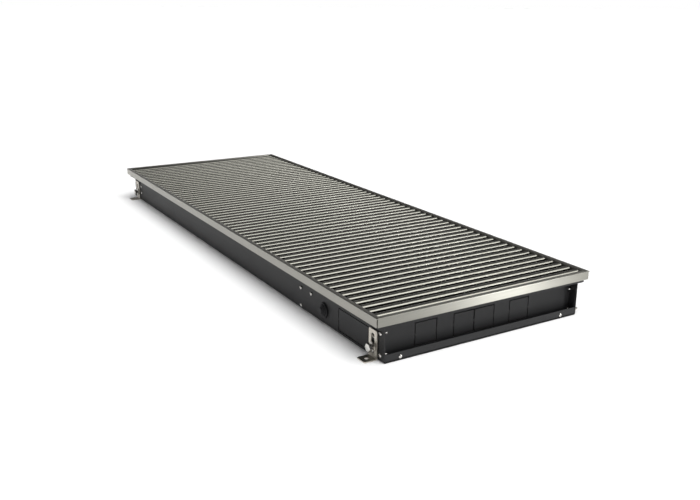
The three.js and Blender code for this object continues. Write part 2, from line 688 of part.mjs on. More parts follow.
add('cable_grommet', cableGrommet(), RUBBER)
  .position.set(-WALL_OUTSIDE - GAP, along(GROMMET_PLACE), GROMMET_HEIGHT);

// ---------------------------------------------------------------- levelling feet

// Local axes: x outwards from the bracket's inner face, y along the wall from its middle, z up.
function footBracket() {
  const middle = FOOT_SHEET / 2;
  const halfWidth = FOOT_WIDTH / 2;
  const toe = FOOT_SHEET + FOOT_REACH;
  const angle = foldedSheet([[middle, FOOT_TOP], [middle, middle], [toe, middle]], FOOT_SHEET, 1.5);
  const front = slab(shapeOf(cutCornerRectangle(
    -halfWidth, -toe, halfWidth, FOOT_TOP, FOOT_CORNER)), -1, toe + 1).applyMatrix4(ALONG_X);
  const plan = slab(shapeOf(cutCornerRectangle(
    -toe, -halfWidth, toe, halfWidth, FOOT_CORNER)), -1, FOOT_TOP + 1);
  const slotRadius = FOOT_SLOT_WIDTH / 2;
  const slotBottom = FOOT_SLOT_TOP - FOOT_SLOT_LENGTH;
  const slot = new THREE.Shape();
  slot.absarc(0, FOOT_SLOT_TOP - slotRadius, slotRadius, 0, Math.PI);
  slot.absarc(0, slotBottom + slotRadius, slotRadius, Math.PI, 2 * Math.PI);
  const body = solid(lengthwise(angle, -halfWidth, halfWidth))
    .intersect(solid(front)).intersect(solid(plan));
  return cut(body,
    slab(slot, -1, FOOT_SHEET + 1).applyMatrix4(ALONG_X),
    barUpright(FOOT_HOLE, 4 * FOOT_SHEET, 12, FOOT_SHEET + FOOT_REACH / 2, 0, middle));
}

// Local axes: x outwards from the bracket's outer face, on the axis of the bolt. The washer is
// made in one with the bolt, whose head stands off it.
function clampBolt() {
  const headStart = GAP + WASHER_THICKNESS + BOLT_STAND_OFF;
  const shankEnd = WALL_INSIDE - BUSH_DEPTH - BOLT_PAST_BUSH - FOOT_OUTSIDE;
  const shankLength = headStart + BOLT_HEAD / 2 - shankEnd;
  const hexRadius = BOLT_ACROSS_FLATS / Math.sqrt(3);
  const chamferStart = BOLT_HEAD - BOLT_CHAMFER;
  const hexAlong = (radius, length, place) => new THREE.CylinderGeometry(
    radius, hexRadius, length, 6).rotateZ(-Math.PI / 2).translate(headStart + place, 0, 0);
  return join(
    barAcross(BOLT_RADIUS, shankLength, SCREW_SIDES, shankEnd + shankLength / 2, 0, 0),
    barAcross(WASHER_RADIUS, WASHER_THICKNESS, WASHER_SIDES, GAP + WASHER_THICKNESS / 2, 0, 0),
    hexAlong(hexRadius - BOLT_CHAMFER, BOLT_CHAMFER, chamferStart + BOLT_CHAMFER / 2),
    hexAlong(hexRadius, chamferStart, chamferStart / 2));
}

CORNERS.forEach(({ name, toEnd, toSide }) => {
  const foot = new THREE.Group();
  foot.position.set(toSide * FOOT_INSIDE, toEnd * (FRAME_LENGTH / 2 - FOOT_PLACE), 0);
  foot.rotation.z = toSide < 0 ? Math.PI : 0;
  heater.add(foot);
  add(`foot_bracket_${name}`, footBracket(), ZINC, foot);
  add(`clamp_bolt_${name}`, clampBolt(), BRIGHT_STEEL, foot)
    .position.set(FOOT_SHEET, 0, BUSH_LOW);
});

// ---------------------------------------------------------------- heat exchanger

const PACK_MIDDLE = along(PACK_START + PACK_LENGTH / 2);
const BORE_RADIUS = TUBE_RADIUS + GAP;
const FIN_LEFT = TUBE_PLACES[0] - FIN_MARGIN;
const FIN_RIGHT = TUBE_PLACES[1] + FIN_MARGIN;

// Thin fins on the collars that space them, with the two tube bores right through.
function finPack() {
  const pitch = (PACK_LENGTH - FIN_THICKNESS) / (FIN_COUNT - 1);
  const start = along(PACK_START);
  const fins = Array.from({ length: FIN_COUNT }, (_, index) => block(
    [FIN_LEFT, start + index * pitch, TUBE_HEIGHT - FIN_HEIGHT / 2],
    [FIN_RIGHT, start + index * pitch + FIN_THICKNESS, TUBE_HEIGHT + FIN_HEIGHT / 2]));
  const collarRadius = (BORE_RADIUS + COLLAR_WALL) / Math.cos(Math.PI / COLLAR_SIDES);
  const collars = TUBE_PLACES.map((place) => barAlong(
    collarRadius, PACK_LENGTH - FIN_THICKNESS, COLLAR_SIDES, place, PACK_MIDDLE, TUBE_HEIGHT));
  const bores = TUBE_PLACES.map((place) => barAlong(
    BORE_RADIUS, 2 * PACK_LENGTH, TUBE_SIDES, place, PACK_MIDDLE, TUBE_HEIGHT));
  const stack = solid(mergeGeometries(fins.map(unshared)));
  return cut(stack.add(join(...collars)), ...bores);
}

// One tube goes out through the pack, turns back beyond its far bracket and returns.
class HairpinCurve extends THREE.Curve {
  constructor(start, straight, radius) {
    super();
    Object.assign(this, { start, straight, radius });
    this.bend = Math.PI * radius;
  }

  getPoint(t) {
    const travel = t * (2 * this.straight + this.bend);
    if (travel <= this.straight) return this.start.clone().add(new THREE.Vector3(0, travel, 0));
    const back = travel - this.straight - this.bend;
    const corner = this.start.clone().add(new THREE.Vector3(this.radius, this.straight, 0));
    if (back >= 0) return corner.add(new THREE.Vector3(this.radius, -back, 0));
    const angle = Math.PI - (travel - this.straight) / this.radius;
    const spoke = new THREE.Vector3(Math.cos(angle), Math.sin(angle), 0);
    return corner.addScaledVector(spoke, this.radius);
  }
}

function regularPolygon(radius, sides) {
  return Array.from({ length: sides }, (_, index) => {
    const angle = (index + 0.5) * 2 * Math.PI / sides;
    return [radius * Math.cos(angle), radius * Math.sin(angle)];
  });
}

// Two straight tubes and a swept half-turn joined at the far end.
function copperHairpin() {
  const radius = TUBE_SPAN / 2;
  const near = along(BLOCK_START + BLOCK_LENGTH) + GAP;
  const far = along(PACK_START + PACK_LENGTH + BRACKET_OFFSET + SHEET) + BRACKET_FLANGE;
  const curve = new HairpinCurve(
    new THREE.Vector3(TUBE_PLACES[0], far - 1, TUBE_HEIGHT), 1, radius);
  const bend = new THREE.ExtrudeGeometry(shapeOf(regularPolygon(TUBE_RADIUS, TUBE_SIDES)), {
    steps: 10, extrudePath: curve, bevelEnabled: false,
  });
  const straights = TUBE_PLACES.map((place) => barAlong(
    TUBE_RADIUS, far - near, TUBE_SIDES, place, (near + far) / 2, TUBE_HEIGHT));
  return join(bend, ...straights);
}

// A folded plate on the trough's floor that carries the tubes beside the pack.
function exchangerBracket(y, outwards) {
  const foot = outwards * BRACKET_FLANGE;
  const angle = foldedSheet([
    [y + foot, FLOOR_TOP + GAP + SHEET / 2], [y, FLOOR_TOP + GAP + SHEET / 2],
    [y, TUBE_HEIGHT + FIN_HEIGHT / 2],
  ], SHEET);
  const outline = cutTopRectangle(
    FIN_LEFT, FLOOR_TOP, FIN_RIGHT, TUBE_HEIGHT + FIN_HEIGHT / 2, BRACKET_NOTCH);
  const depth = BRACKET_FLANGE + 2 * SHEET;
  const bores = TUBE_PLACES.map((place) => barAlong(
    BORE_RADIUS, 4 * SHEET, TUBE_SIDES, place, y, TUBE_HEIGHT));
  return cut(
    solid(crosswise(angle, FIN_LEFT, FIN_RIGHT))
      .intersect(solid(lengthwise(outline, y - depth, y + depth))),
    ...bores);
}

const NEAR_BRACKET = along(PACK_START - BRACKET_OFFSET);
const FAR_BRACKET = along(PACK_START + PACK_LENGTH + BRACKET_OFFSET);

// A casting with a way for each tube, a threaded nipple on each and a boss for the air vent.
function connectionBlock() {
  const start = along(BLOCK_START);
  const end = start + BLOCK_LENGTH;
  const middle = (start + end) / 2;
  const barrels = TUBE_PLACES.map((place) => barAlong(
    BLOCK_RADIUS, BLOCK_LENGTH, 12, place, middle, TUBE_HEIGHT));
  const nipples = TUBE_PLACES.map((place) => barAlong(
    NIPPLE_RADIUS, NIPPLE_LENGTH + BLOCK_LENGTH / 2, 12,
    place, start - NIPPLE_LENGTH / 2 + BLOCK_LENGTH / 4, TUBE_HEIGHT));
  const web = block(
    [TUBE_PLACES[0], start + 2, TUBE_HEIGHT - BLOCK_WEB / 2],
    [TUBE_PLACES[1], end - 2, TUBE_HEIGHT + BLOCK_WEB / 2]);
  const boss = barUpright(VENT_BOSS, VENT_BOSS_RISE, 12,
    TUBE_MIDDLE, middle, TUBE_HEIGHT + VENT_BOSS_RISE / 2);
  return cut(
    join(...barrels, ...nipples, web, boss),
    ...TUBE_PLACES.map((place) => barAlong(NIPPLE_BORE, NIPPLE_LENGTH + BLOCK_LENGTH, TUBE_SIDES,
      place, start - NIPPLE_LENGTH / 2, TUBE_HEIGHT)),
    barUpright(VENT_BORE, VENT_BOSS_RISE, SCREW_SIDES,
      TUBE_MIDDLE, middle, TUBE_HEIGHT + VENT_BOSS_RISE));
}

// Local axes: on the nipple's axis, y towards the exchanger from the nut's front face.
function unionNut() {
  const hexRadius = UNION_ACROSS_FLATS / Math.sqrt(3);
  return cut(
    solid(new THREE.CylinderGeometry(hexRadius, hexRadius, UNION_LENGTH, 6)
      .translate(0, UNION_LENGTH / 2, 0)),
    barAlong(NIPPLE_RADIUS + HOLE_PLAY + GAP, 4 * UNION_LENGTH, 12, 0, 0, 0));
}

// A slotted plug; the underside of its head is at z = 0.
function airVentScrew() {
  const profile = [
    [0, -VENT_BOSS], [VENT_SCREW, -VENT_BOSS], [VENT_SCREW, 0], [VENT_HEAD, 0],
    [VENT_HEAD, VENT_HEAD_HEIGHT - 1], [VENT_HEAD - 1, VENT_HEAD_HEIGHT], [0, VENT_HEAD_HEIGHT],
  ].map(([radius, height]) => new THREE.Vector2(radius, height));
  const turned = solid(new THREE.LatheGeometry(profile, 12).rotateX(Math.PI / 2));
  const slot = block(
    [-VENT_HEAD - 1, -VENT_SLOT / 2, VENT_HEAD_HEIGHT / 2],
    [VENT_HEAD + 1, VENT_SLOT / 2, VENT_HEAD_HEIGHT + 1]);
  return cut(turned, slot);
}

add('fin_pack', finPack(), FIN_ALUMINIUM);
add('copper_hairpin', copperHairpin(), COPPER);
add('exchanger_bracket_near', exchangerBracket(NEAR_BRACKET, -1), GALVANISED);
add('exchanger_bracket_far', exchangerBracket(FAR_BRACKET, 1), GALVANISED);
add('connection_block', connectionBlock(), BRASS);
['supply', 'return'].forEach((name, index) => {
  add(`union_nut_${name}`, unionNut(), BRASS)
    .position.set(TUBE_PLACES[index], along(BLOCK_START) - GAP - UNION_LENGTH, TUBE_HEIGHT);
});
add('air_vent_screw', airVentScrew(), BRIGHT_STEEL).position.set(
  TUBE_MIDDLE, along(BLOCK_START + BLOCK_LENGTH / 2), TUBE_HEIGHT + VENT_BOSS_RISE + GAP);

// ---------------------------------------------------------------- fan unit

const OUTLET_X = FAN_AXIS_X + FAN_OUTLET;
const SCROLL_LEFT = -WALL_INSIDE + SCROLL_WALL_GAP;
const SCROLL_FLOOR = FAN_AXIS_HEIGHT - ROTOR_RADIUS - ROTOR_CLEARANCE;

// The scroll comes down beside the wall, turns under the rotors and runs out to the exchanger.
function fanScroll() {
  const wallRadius = FAN_AXIS_X - SCROLL_LEFT;
  const floorRadius = FAN_AXIS_HEIGHT - SCROLL_FLOOR;
  const turn = Array.from({ length: SCROLL_STEPS + 1 }, (_, step) => {
    const share = step / SCROLL_STEPS;
    const angle = Math.PI + share * Math.PI / 2;
    const radius = wallRadius + share * (floorRadius - wallRadius);
    return [FAN_AXIS_X + radius * Math.cos(angle), FAN_AXIS_HEIGHT + radius * Math.sin(angle)];
  });
  const path = [[SCROLL_LEFT, FAN_TOP], ...turn, [OUTLET_X, SCROLL_FLOOR]];
  return lengthwise(mitredStrip(path, FAN_SHEET), FAN_NEAR + GAP, FAN_FAR - GAP);
}

// The tongue stands close to the rotors on the outlet side and parts outlet from inlet.
function fanTongue() {
  const reach = ROTOR_RADIUS + TONGUE_CLEARANCE + FAN_SHEET / 2;
  return lengthwise(mitredStrip([
    [OUTLET_X, FAN_TOP - FAN_SHEET], [OUTLET_X - TONGUE_LIP, FAN_TOP - FAN_SHEET],
    [FAN_AXIS_X + reach, FAN_AXIS_HEIGHT + TONGUE_LIP / 2],
    [FAN_AXIS_X + reach + 1, FAN_AXIS_HEIGHT],
    [FAN_AXIS_X + reach + TONGUE_LIP / 4, FAN_AXIS_HEIGHT - TONGUE_LIP / 4],
  ], FAN_SHEET), FAN_NEAR + GAP, FAN_FAR - GAP);
}

// A folded plate screwed to the side wall; the rotor's bearing bushing sits in its hole.
function fanEndPlate(y, outwards) {
  const wallFace = -WALL_INSIDE + GAP;
  const middle = y + outwards * FAN_SHEET / 2;
  const angle = foldedSheet([
    [wallFace + FAN_SHEET / 2, middle + outwards * FAN_FLANGE],
    [wallFace + FAN_SHEET / 2, middle], [OUTLET_X, middle],
  ], FAN_SHEET);
  const bottom = FLOOR_TOP + GAP;
  const outline = [
    [wallFace - 1, bottom], [OUTLET_X, bottom], [OUTLET_X, FAN_TOP - FAN_CORNER],
    [OUTLET_X - FAN_CORNER, FAN_TOP], [wallFace - 1, FAN_TOP],
  ];
  const screws = FAN_SCREWS.filter((screw) => Math.sign(screw.y - FAN_MIDDLE) === outwards);
  return cut(
    solid(slab(shapeOf(angle), bottom, FAN_TOP))
      .intersect(solid(lengthwise(outline, y - 2 * FAN_FLANGE, y + 2 * FAN_FLANGE))),
    barAlong(BUSHING_RADIUS - 1 + GAP, 4 * FAN_SHEET, 12, FAN_AXIS_X, y, FAN_AXIS_HEIGHT),
    ...screws.map(screwHole));
}

// A rubber ring with a groove for the plate's edge and a bore for the stub shaft.
function bearingBushing(y, outwards) {
  const middle = y + outwards * FAN_SHEET / 2;
  const round = (radius, length) => barAlong(
    radius, length, BUSHING_SIDES, FAN_AXIS_X, middle, FAN_AXIS_HEIGHT);
  const groove = cut(solid(round(BUSHING_RADIUS + 1, FAN_SHEET + 2 * GAP)),
    round(BUSHING_RADIUS - 1, BUSHING_LENGTH));
  return cut(solid(round(BUSHING_RADIUS, BUSHING_LENGTH)).subtract(groove),
    round(SHAFT_RADIUS + GAP, 2 * BUSHING_LENGTH));
}

// Local axes: y from the motor's face to the bearing, on the rotor's axis. The near rotor is
// pressed on the motor's shaft, which reaches through the motor into the far rotor's hub.
function fanRotor(length, stub, shaft) {
  const bladeRadius = ROTOR_RADIUS - BLADE_DEPTH / 2 - 0.6;
  const blades = Array.from({ length: BLADE_COUNT }, (_, index) => {
    const angle = index * 2 * Math.PI / BLADE_COUNT;
    return new THREE.BoxGeometry(BLADE_DEPTH, length - ROTOR_DISC, BLADE_THICKNESS)
      .rotateY(BLADE_PITCH_ANGLE)
      .translate(bladeRadius, length / 2, 0)
      .rotateY(angle);
  });
  const discs = [ROTOR_DISC / 2, length - ROTOR_DISC / 2].map((place) => (
    barAlong(ROTOR_RADIUS, ROTOR_DISC, ROTOR_SIDES, 0, place, 0)));
  const body = solid(mergeGeometries(blades.map(unshared)))
    .add(join(...discs,
      barAlong(HUB_RADIUS, HUB_LENGTH, 12, 0, HUB_LENGTH / 2, 0),
      barAlong(SHAFT_RADIUS, stub, SCREW_SIDES, 0, length - ROTOR_DISC / 2 + stub / 2, 0)));
  if (shaft > 0) {
    return body.add(solid(barAlong(SHAFT_RADIUS, shaft + 1, SCREW_SIDES, 0, (1 - shaft) / 2, 0)));
  }
  return cut(body, barAlong(SHAFT_RADIUS + GAP, 2 * HUB_LENGTH - 2, SCREW_SIDES, 0, 0, 0));
}

// A drum with stepped end shields, on a foot that stands on the scroll's floor.
function fanMotor() {
  const half = MOTOR_LENGTH / 2;
  const shield = MOTOR_RADIUS - MOTOR_STEP;
  const shoulder = half - MOTOR_SHIELD;
  const profile = [
    [0, -half], [shield - 2, -half], [shield, -half + 3], [shield, -shoulder - 2],
    [MOTOR_RADIUS, -shoulder], [MOTOR_RADIUS, shoulder], [shield, shoulder + 2],
    [shield, half - 3], [shield - 2, half], [0, half],
  ].map(([radius, height]) => new THREE.Vector2(radius, height));
  const drum = new THREE.LatheGeometry(profile, 16);
  const bottom = SCROLL_FLOOR + FAN_SHEET / 2 + GAP - FAN_AXIS_HEIGHT;
  const saddle = block([0, 4 - shoulder, bottom], [MOTOR_SADDLE, shoulder - 4, -MOTOR_RADIUS / 4]);
  return cut(join(drum, saddle),
    barAlong(SHAFT_RADIUS + GAP, 2 * MOTOR_LENGTH, SCREW_SIDES, 0, 0, 0));
}

const ROTOR_START = MOTOR_LENGTH / 2 + MOTOR_FACE_GAP;
const ROTOR_LENGTH = (FAN_FAR - FAN_NEAR) / 2 - ROTOR_START - ROTOR_END_GAP;
const STUB_LENGTH = ROTOR_END_GAP + FAN_SHEET + BUSHING_LENGTH;

add('fan_scroll', fanScroll(), GALVANISED);
add('fan_tongue', fanTongue(), GALVANISED);
ENDS.forEach(([name, outwards]) => {
  const y = outwards < 0 ? FAN_NEAR : FAN_FAR;
  add(`fan_end_plate_${name}`, fanEndPlate(y, outwards), GALVANISED);
  add(`bearing_bushing_${name}`, bearingBushing(y, outwards), RUBBER);
  const shaft = outwards < 0 ? 2 * ROTOR_START + HUB_LENGTH - 2 : 0;
  const rotor = add(`fan_rotor_${name}`, fanRotor(ROTOR_LENGTH, STUB_LENGTH, shaft), FIN_ALUMINIUM);
  rotor.position.set(FAN_AXIS_X, FAN_MIDDLE + outwards * ROTOR_START, FAN_AXIS_HEIGHT);
  if (outwards < 0) rotor.rotation.z = Math.PI;
});
add('fan_motor', fanMotor(), GREY_PLASTIC).position.set(FAN_AXIS_X, FAN_MIDDLE, FAN_AXIS_HEIGHT);

// ---------------------------------------------------------------- control box

const BOX_LEFT = -WALL_INSIDE + GAP;
const BOX_BOTTOM = FLOOR_TOP + GAP;

// An open box on stand-off ribs, with a hole in its back for the screw through the side wall.
function controlBox() {
  const near = along(BOX_START);
  const far = near + BOX_LENGTH;
  const right = BOX_LEFT + BOX_DEPTH;
  const floor = BOX_BOTTOM + BOX_FLOOR_GAP;
  const top = floor + BOX_HEIGHT;
  const shell = slab(shapeOf(cutCornerRectangle(BOX_LEFT, near, right, far, 2)), floor, top);
  const inside = cutCornerRectangle(
    BOX_LEFT + BOX_WALL, near + BOX_WALL, right - BOX_WALL, far - BOX_WALL, 1);
  const hollow = slab(shapeOf(inside), floor + BOX_WALL, top + 1);
  const ribs = [near + 3, far - 5].map((y) => block(
    [BOX_LEFT + 4, y, BOX_BOTTOM], [right - 4, y + 2, floor + 1]));
  return cut(join(shell, ...ribs), hollow, screwHole(BOX_SCREW));
}

// The lid's rim fits inside the box.
function controlBoxLid() {
  const near = along(BOX_START);
  const far = near + BOX_LENGTH;
  const right = BOX_LEFT + BOX_DEPTH;
  const top = BOX_BOTTOM + BOX_FLOOR_GAP + BOX_HEIGHT + GAP;
  const inset = BOX_WALL + GAP;
  const rim = cutCornerRectangle(
    BOX_LEFT + inset, near + inset, right - inset, far - inset, 1);
  return join(
    slab(shapeOf(cutCornerRectangle(BOX_LEFT, near, right, far, 2)), top, top + BOX_LID),
    slab(shapeOf(rim), top - BOX_LID, top + BOX_LID / 2));
}

add('control_box', controlBox(), BLACK_PLASTIC);
add('control_box_lid', controlBoxLid(), GREY_PLASTIC);

// ---------------------------------------------------------------- spreader bar

// A folded channel between the side walls that keeps them apart.
function spreaderBar() {
  const y = along(SPREADER_PLACE);
  const half = (SPREADER_WIDTH - SHEET) / 2;
  const top = SPREADER_TOP - SHEET / 2;
  const section = foldedSheet([
    [y - half, SPREADER_TOP - SPREADER_HEIGHT], [y - half, top],
    [y + half, top], [y + half, SPREADER_TOP - SPREADER_HEIGHT],
  ], SHEET);
  return crosswise(section, -WALL_INSIDE + GAP, WALL_INSIDE - GAP);
}

add('spreader_bar', spreaderBar(), BLACK_COAT);

export default heater;
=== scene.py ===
# %% [markdown]
# # A trench convector heater, dressed around its engineering model
# The heater is a shallow black trough that is let into a floor, with an aluminium edge frame and
# a roll-up grille of cross bars. Its construction is already modelled at real size. This lesson
# loads that model as a fixed frame, gives each piece its finish, and remodels the pieces that the
# eye comes close to: bars, screws, feet, fins and fans.

# %% Load the frame
import json
import math

import bmesh
import bpy
from mathutils import Euler, Matrix, Vector

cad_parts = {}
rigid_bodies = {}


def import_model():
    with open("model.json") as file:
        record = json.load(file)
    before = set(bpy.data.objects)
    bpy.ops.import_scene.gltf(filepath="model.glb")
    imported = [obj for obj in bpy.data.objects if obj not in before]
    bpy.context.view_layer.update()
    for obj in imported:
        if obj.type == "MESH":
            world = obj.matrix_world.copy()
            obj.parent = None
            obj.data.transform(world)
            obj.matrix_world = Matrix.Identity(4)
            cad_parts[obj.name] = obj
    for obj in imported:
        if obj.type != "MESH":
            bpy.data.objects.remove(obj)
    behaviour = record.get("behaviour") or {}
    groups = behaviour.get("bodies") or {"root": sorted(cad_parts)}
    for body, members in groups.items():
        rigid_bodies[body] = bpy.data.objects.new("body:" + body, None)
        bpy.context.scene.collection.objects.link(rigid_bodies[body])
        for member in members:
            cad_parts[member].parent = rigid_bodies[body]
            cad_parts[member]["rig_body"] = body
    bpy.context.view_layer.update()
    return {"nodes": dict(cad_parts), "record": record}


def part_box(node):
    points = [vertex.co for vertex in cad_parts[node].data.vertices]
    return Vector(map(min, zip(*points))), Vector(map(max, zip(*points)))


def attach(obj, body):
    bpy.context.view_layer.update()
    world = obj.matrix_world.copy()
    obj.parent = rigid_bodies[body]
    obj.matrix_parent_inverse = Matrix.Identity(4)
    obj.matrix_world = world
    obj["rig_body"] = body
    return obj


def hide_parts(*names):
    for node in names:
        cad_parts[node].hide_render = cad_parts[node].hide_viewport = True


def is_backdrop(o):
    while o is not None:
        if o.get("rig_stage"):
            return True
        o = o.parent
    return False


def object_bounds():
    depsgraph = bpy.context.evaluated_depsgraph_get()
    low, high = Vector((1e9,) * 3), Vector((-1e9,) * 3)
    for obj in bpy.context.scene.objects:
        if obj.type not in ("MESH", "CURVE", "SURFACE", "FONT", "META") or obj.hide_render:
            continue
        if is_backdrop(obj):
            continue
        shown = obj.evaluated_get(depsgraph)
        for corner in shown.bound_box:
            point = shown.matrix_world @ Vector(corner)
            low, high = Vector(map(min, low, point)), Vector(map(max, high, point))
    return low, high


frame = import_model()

MM = 0.001
nodes = frame["nodes"]
print("pieces in the frame:", len(nodes))

# %% [markdown]
# ## The camera
# The picture was taken with a normal lens from the near left, a little above the grille. The
# place and turn of the camera could be tried out by eye. They were solved from the four corners of
# the edge frame instead, so that edges meet edges: where it stands, which way it looks, and a
# slight roll.

# %% Camera
CAMERA_PLACE = Vector((-0.8236, -1.5601, 0.5293))
CAMERA_AZIMUTH = math.radians(-31.07)
CAMERA_ELEVATION = math.radians(17.27)
CAMERA_ROLL = math.radians(0.31)
CAMERA_LENS = 41.54

camera_data = bpy.data.cameras.new("camera")
camera_data.lens = CAMERA_LENS
camera_data.clip_start = 0.01
camera_data.clip_end = 50
camera = bpy.data.objects.new("camera", camera_data)
bpy.context.scene.collection.objects.link(camera)
camera.location = CAMERA_PLACE
tilt = Euler((math.pi / 2 - CAMERA_ELEVATION, 0, CAMERA_AZIMUTH)).to_matrix()
camera.rotation_euler = (tilt @ Matrix.Rotation(CAMERA_ROLL, 3, "Z")).to_euler()
bpy.context.scene.camera = camera
print("camera is", round((CAMERA_PLACE - Vector((0, 0, 0.04))).length, 2), "m from the heater")

# %% [markdown]
# ## Colours
# Colours are picked as the hex values that a screen shows. Shaders work in linear light, so one
# function converts them. Typed in as linear numbers they would be hard to check against a
# photograph.

# %% Colours
def linear(hex_text):
    """A screen colour as the four linear values that a shader socket takes."""
    channels = [int(hex_text[start:start + 2], 16) / 255 for start in (1, 3, 5)]
    bent = [c / 12.92 if c <= 0.04045 else ((c + 0.055) / 1.055) ** 2.4 for c in channels]
    return (*bent, 1.0)


print("half grey on a screen is", round(linear("#808080")[0], 3), "in linear light")

# %% [markdown]
# ## Shader nodes
# A material could be built with a line for each socket and link. One function that adds a node
# with its settings and links keeps each material readable as a short list. Three more are
# steps that nearly every finish here needs: a pattern between two tones, pressed into the surface,
# or spread over a range of roughness.

# %% Nodes
def add_node(tree, kind, values=None, links=None, **settings):
    """Adds a node, sets its properties and sockets, and links its inputs."""
    made = tree.nodes.new(kind)
    for name, value in settings.items():
        setattr(made, name, value)
    for name, value in (values or {}).items():
        made.inputs[name].default_value = value
    for name, source in (links or {}).items():
        tree.links.new(source, made.inputs[name])
    return made


def start_material(name, **sockets):
    """A material with a Principled shader whose fixed values are set on its own sockets."""
    material = bpy.data.materials.new(name)
    material.use_nodes = True
    shader = material.node_tree.nodes["Principled BSDF"]
    for socket, value in sockets.items():
        shader.inputs[socket.replace("_", " ")].default_value = value
    return material, material.node_tree, shader


print("materials so far:", len(bpy.data.materials))


# %% Patterns
def two_tones(tree, shader, factor, dark, light):
    """Runs a 0 to 1 pattern between two colours into the base colour."""
    ramp = add_node(tree, "ShaderNodeMix", data_type="RGBA", links={"Factor": factor})
    ramp.inputs[6].default_value = linear(dark)
    ramp.inputs[7].default_value = linear(light)
    tree.links.new(ramp.outputs[2], shader.inputs["Base Color"])


def bump(tree, shader, height, depth, strength):
    """Presses a pattern into the surface by a real depth."""
    made = add_node(tree, "ShaderNodeBump", values={"Strength": strength, "Distance": depth},
                    links={"Height": height})
    tree.links.new(made.outputs["Normal"], shader.inputs["Normal"])


def spread(tree, source, low, high):
    """Maps a 0 to 1 pattern to a range, for roughness."""
    return add_node(tree, "ShaderNodeMapRange", values={"To Min": low, "To Max": high},
                    links={"Value": source}).outputs["Result"]


print("a pattern can give:", ", ".join(step.__name__ for step in (two_tones, bump, spread)))

# %% [markdown]
# ## Anodised aluminium, drawn and brushed
# The edge frame is extruded aluminium, brushed along its length and anodised. The fine lines
# stretch a highlight across them, so a soft box in front of the face draws an upright bright
# patch. The lines could be real grooves, but thousands of faces would show no more than noise that
# is squeezed along the profile. The stretch comes from the shader's anisotropy: it runs along the
# tangent, which is set across the lines. The short sides are painted a shade darker than the long
# ones, as painted shade for how the light falls on each pair, so each pair of sides has its own
# two tones of the same metal. The bars are smoother, with no stretch.

# %% Anodised aluminium
BRUSH_SPACING = 0.8 * MM  # really about 0.1 mm, drawn coarser so that the lines show
LINE_STRETCH = 120        # a line is this many times as long as it is wide


def brushed_aluminium(name, along_x, dark, light, roughness, anisotropic=0.0, depth=0.02):
    material, tree, shader = start_material(
        name, Metallic=1.0, Roughness=roughness, Anisotropic=anisotropic)
    place = add_node(tree, "ShaderNodeTexCoord")
    fine = 1 / BRUSH_SPACING
    squeeze = (fine / LINE_STRETCH, fine, fine) if along_x else (fine, fine / LINE_STRETCH, fine)
    squeezed = add_node(tree, "ShaderNodeMapping", values={"Scale": squeeze},
                        links={"Vector": place.outputs["Object"]})
    lines = add_node(tree, "ShaderNodeTexNoise", values={"Scale": 1.0, "Detail": 3.0},
                     links={"Vector": squeezed.outputs["Vector"]})
    two_tones(tree, shader, lines.outputs["Fac"], dark, light)
    tree.links.new(spread(tree, lines.outputs["Fac"], roughness - 0.08, roughness + 0.08),
                   shader.inputs["Roughness"])
    bump(tree, shader, lines.outputs["Fac"], depth * MM, 0.6)
    if anisotropic:
        across = add_node(tree, "ShaderNodeCombineXYZ",
                          values={"X": float(not along_x), "Y": float(along_x), "Z": 1.0})
        tree.links.new(across.outputs["Vector"], shader.inputs["Tangent"])
    return material


FRAME_STRETCH = 0.95
# Brushed and anodised: an upright patch of light on a face that is otherwise an even grey.
# Painted shade: the short sides get darker tones than the long sides, one metal in two tones.
frame_along_x = brushed_aluminium("anodised_frame_short_sides", True, "#84837d", "#98978f", 0.34,
                                  FRAME_STRETCH)
frame_along_y = brushed_aluminium("anodised_frame_long_sides", False, "#a7a59e", "#bab8b0", 0.4,
                                  FRAME_STRETCH)
# Drawn and anodised: one crisp line of light along each rounded bar.
grille_metal = brushed_aluminium("anodised_grille_bars", True, "#88877f", "#98978f", 0.22,
                                 depth=0.002)
print("brushed lines every", BRUSH_SPACING / MM, "mm")

# %% [markdown]
# ## Powder coat
# Trough and end plates are steel with a fine-textured black powder coat: a matt charcoal skin
# with a slight orange peel of about half a millimetre, which breaks reflections into a soft sheen.
# A plain rough black would do from far away. Close by, the peel in the bump and the roughness
# makes it read as a coat on metal. The corner keys are castings with a rougher, darker skin.

# %% Powder coat
POWDER_GRAIN = 0.6 * MM
COAT_CLOUDS = 9.0  # in a metre: patches a hand wide, where the coat is a little thicker
COAT_SHINE = 0.28  # lower than bare plastic, since the grain hides part of the shine


def powder_coat(name, dark, light, roughness):
    material, tree, shader = start_material(
        name, Roughness=roughness, Specular_IOR_Level=COAT_SHINE)
    place = add_node(tree, "ShaderNodeTexCoord")
    grain = add_node(tree, "ShaderNodeTexNoise",
                     values={"Scale": 1 / POWDER_GRAIN, "Detail": 2.0, "Roughness": 0.6},
                     links={"Vector": place.outputs["Object"]})
    cloud = add_node(tree, "ShaderNodeTexNoise", values={"Scale": COAT_CLOUDS, "Detail": 3.0},
                     links={"Vector": place.outputs["Object"]})
    two_tones(tree, shader, cloud.outputs["Fac"], dark, light)
    tree.links.new(spread(tree, grain.outputs["Fac"], roughness - 0.1, roughness + 0.1),
                   shader.inputs["Roughness"])
    bump(tree, shader, grain.outputs["Fac"], 0.05 * MM, 0.5)
    return material


coat = powder_coat("black_powder_coat", "#1f1f20", "#262627", 0.5)
key_coat = powder_coat("dark_die_casting", "#1c1c1d", "#252526", 0.55)
print("orange peel of", POWDER_GRAIN / MM, "mm")

# %% [markdown]
# ## Plated and bare metals
# The foot brackets are zinc plated, slightly cloudy. Screws and bolts have a brighter zinc. The
# fan housing is galvanised sheet with its spangle, cells of about 8 mm that differ a little in
# brightness. The exchanger is mill-finish aluminium on copper tube, and the unions are brass.
# Each could have a recipe of its own. But they all are bare metal whose tone drifts in patches of
# a typical size, so one recipe with two tones, a roughness and that size makes them all.

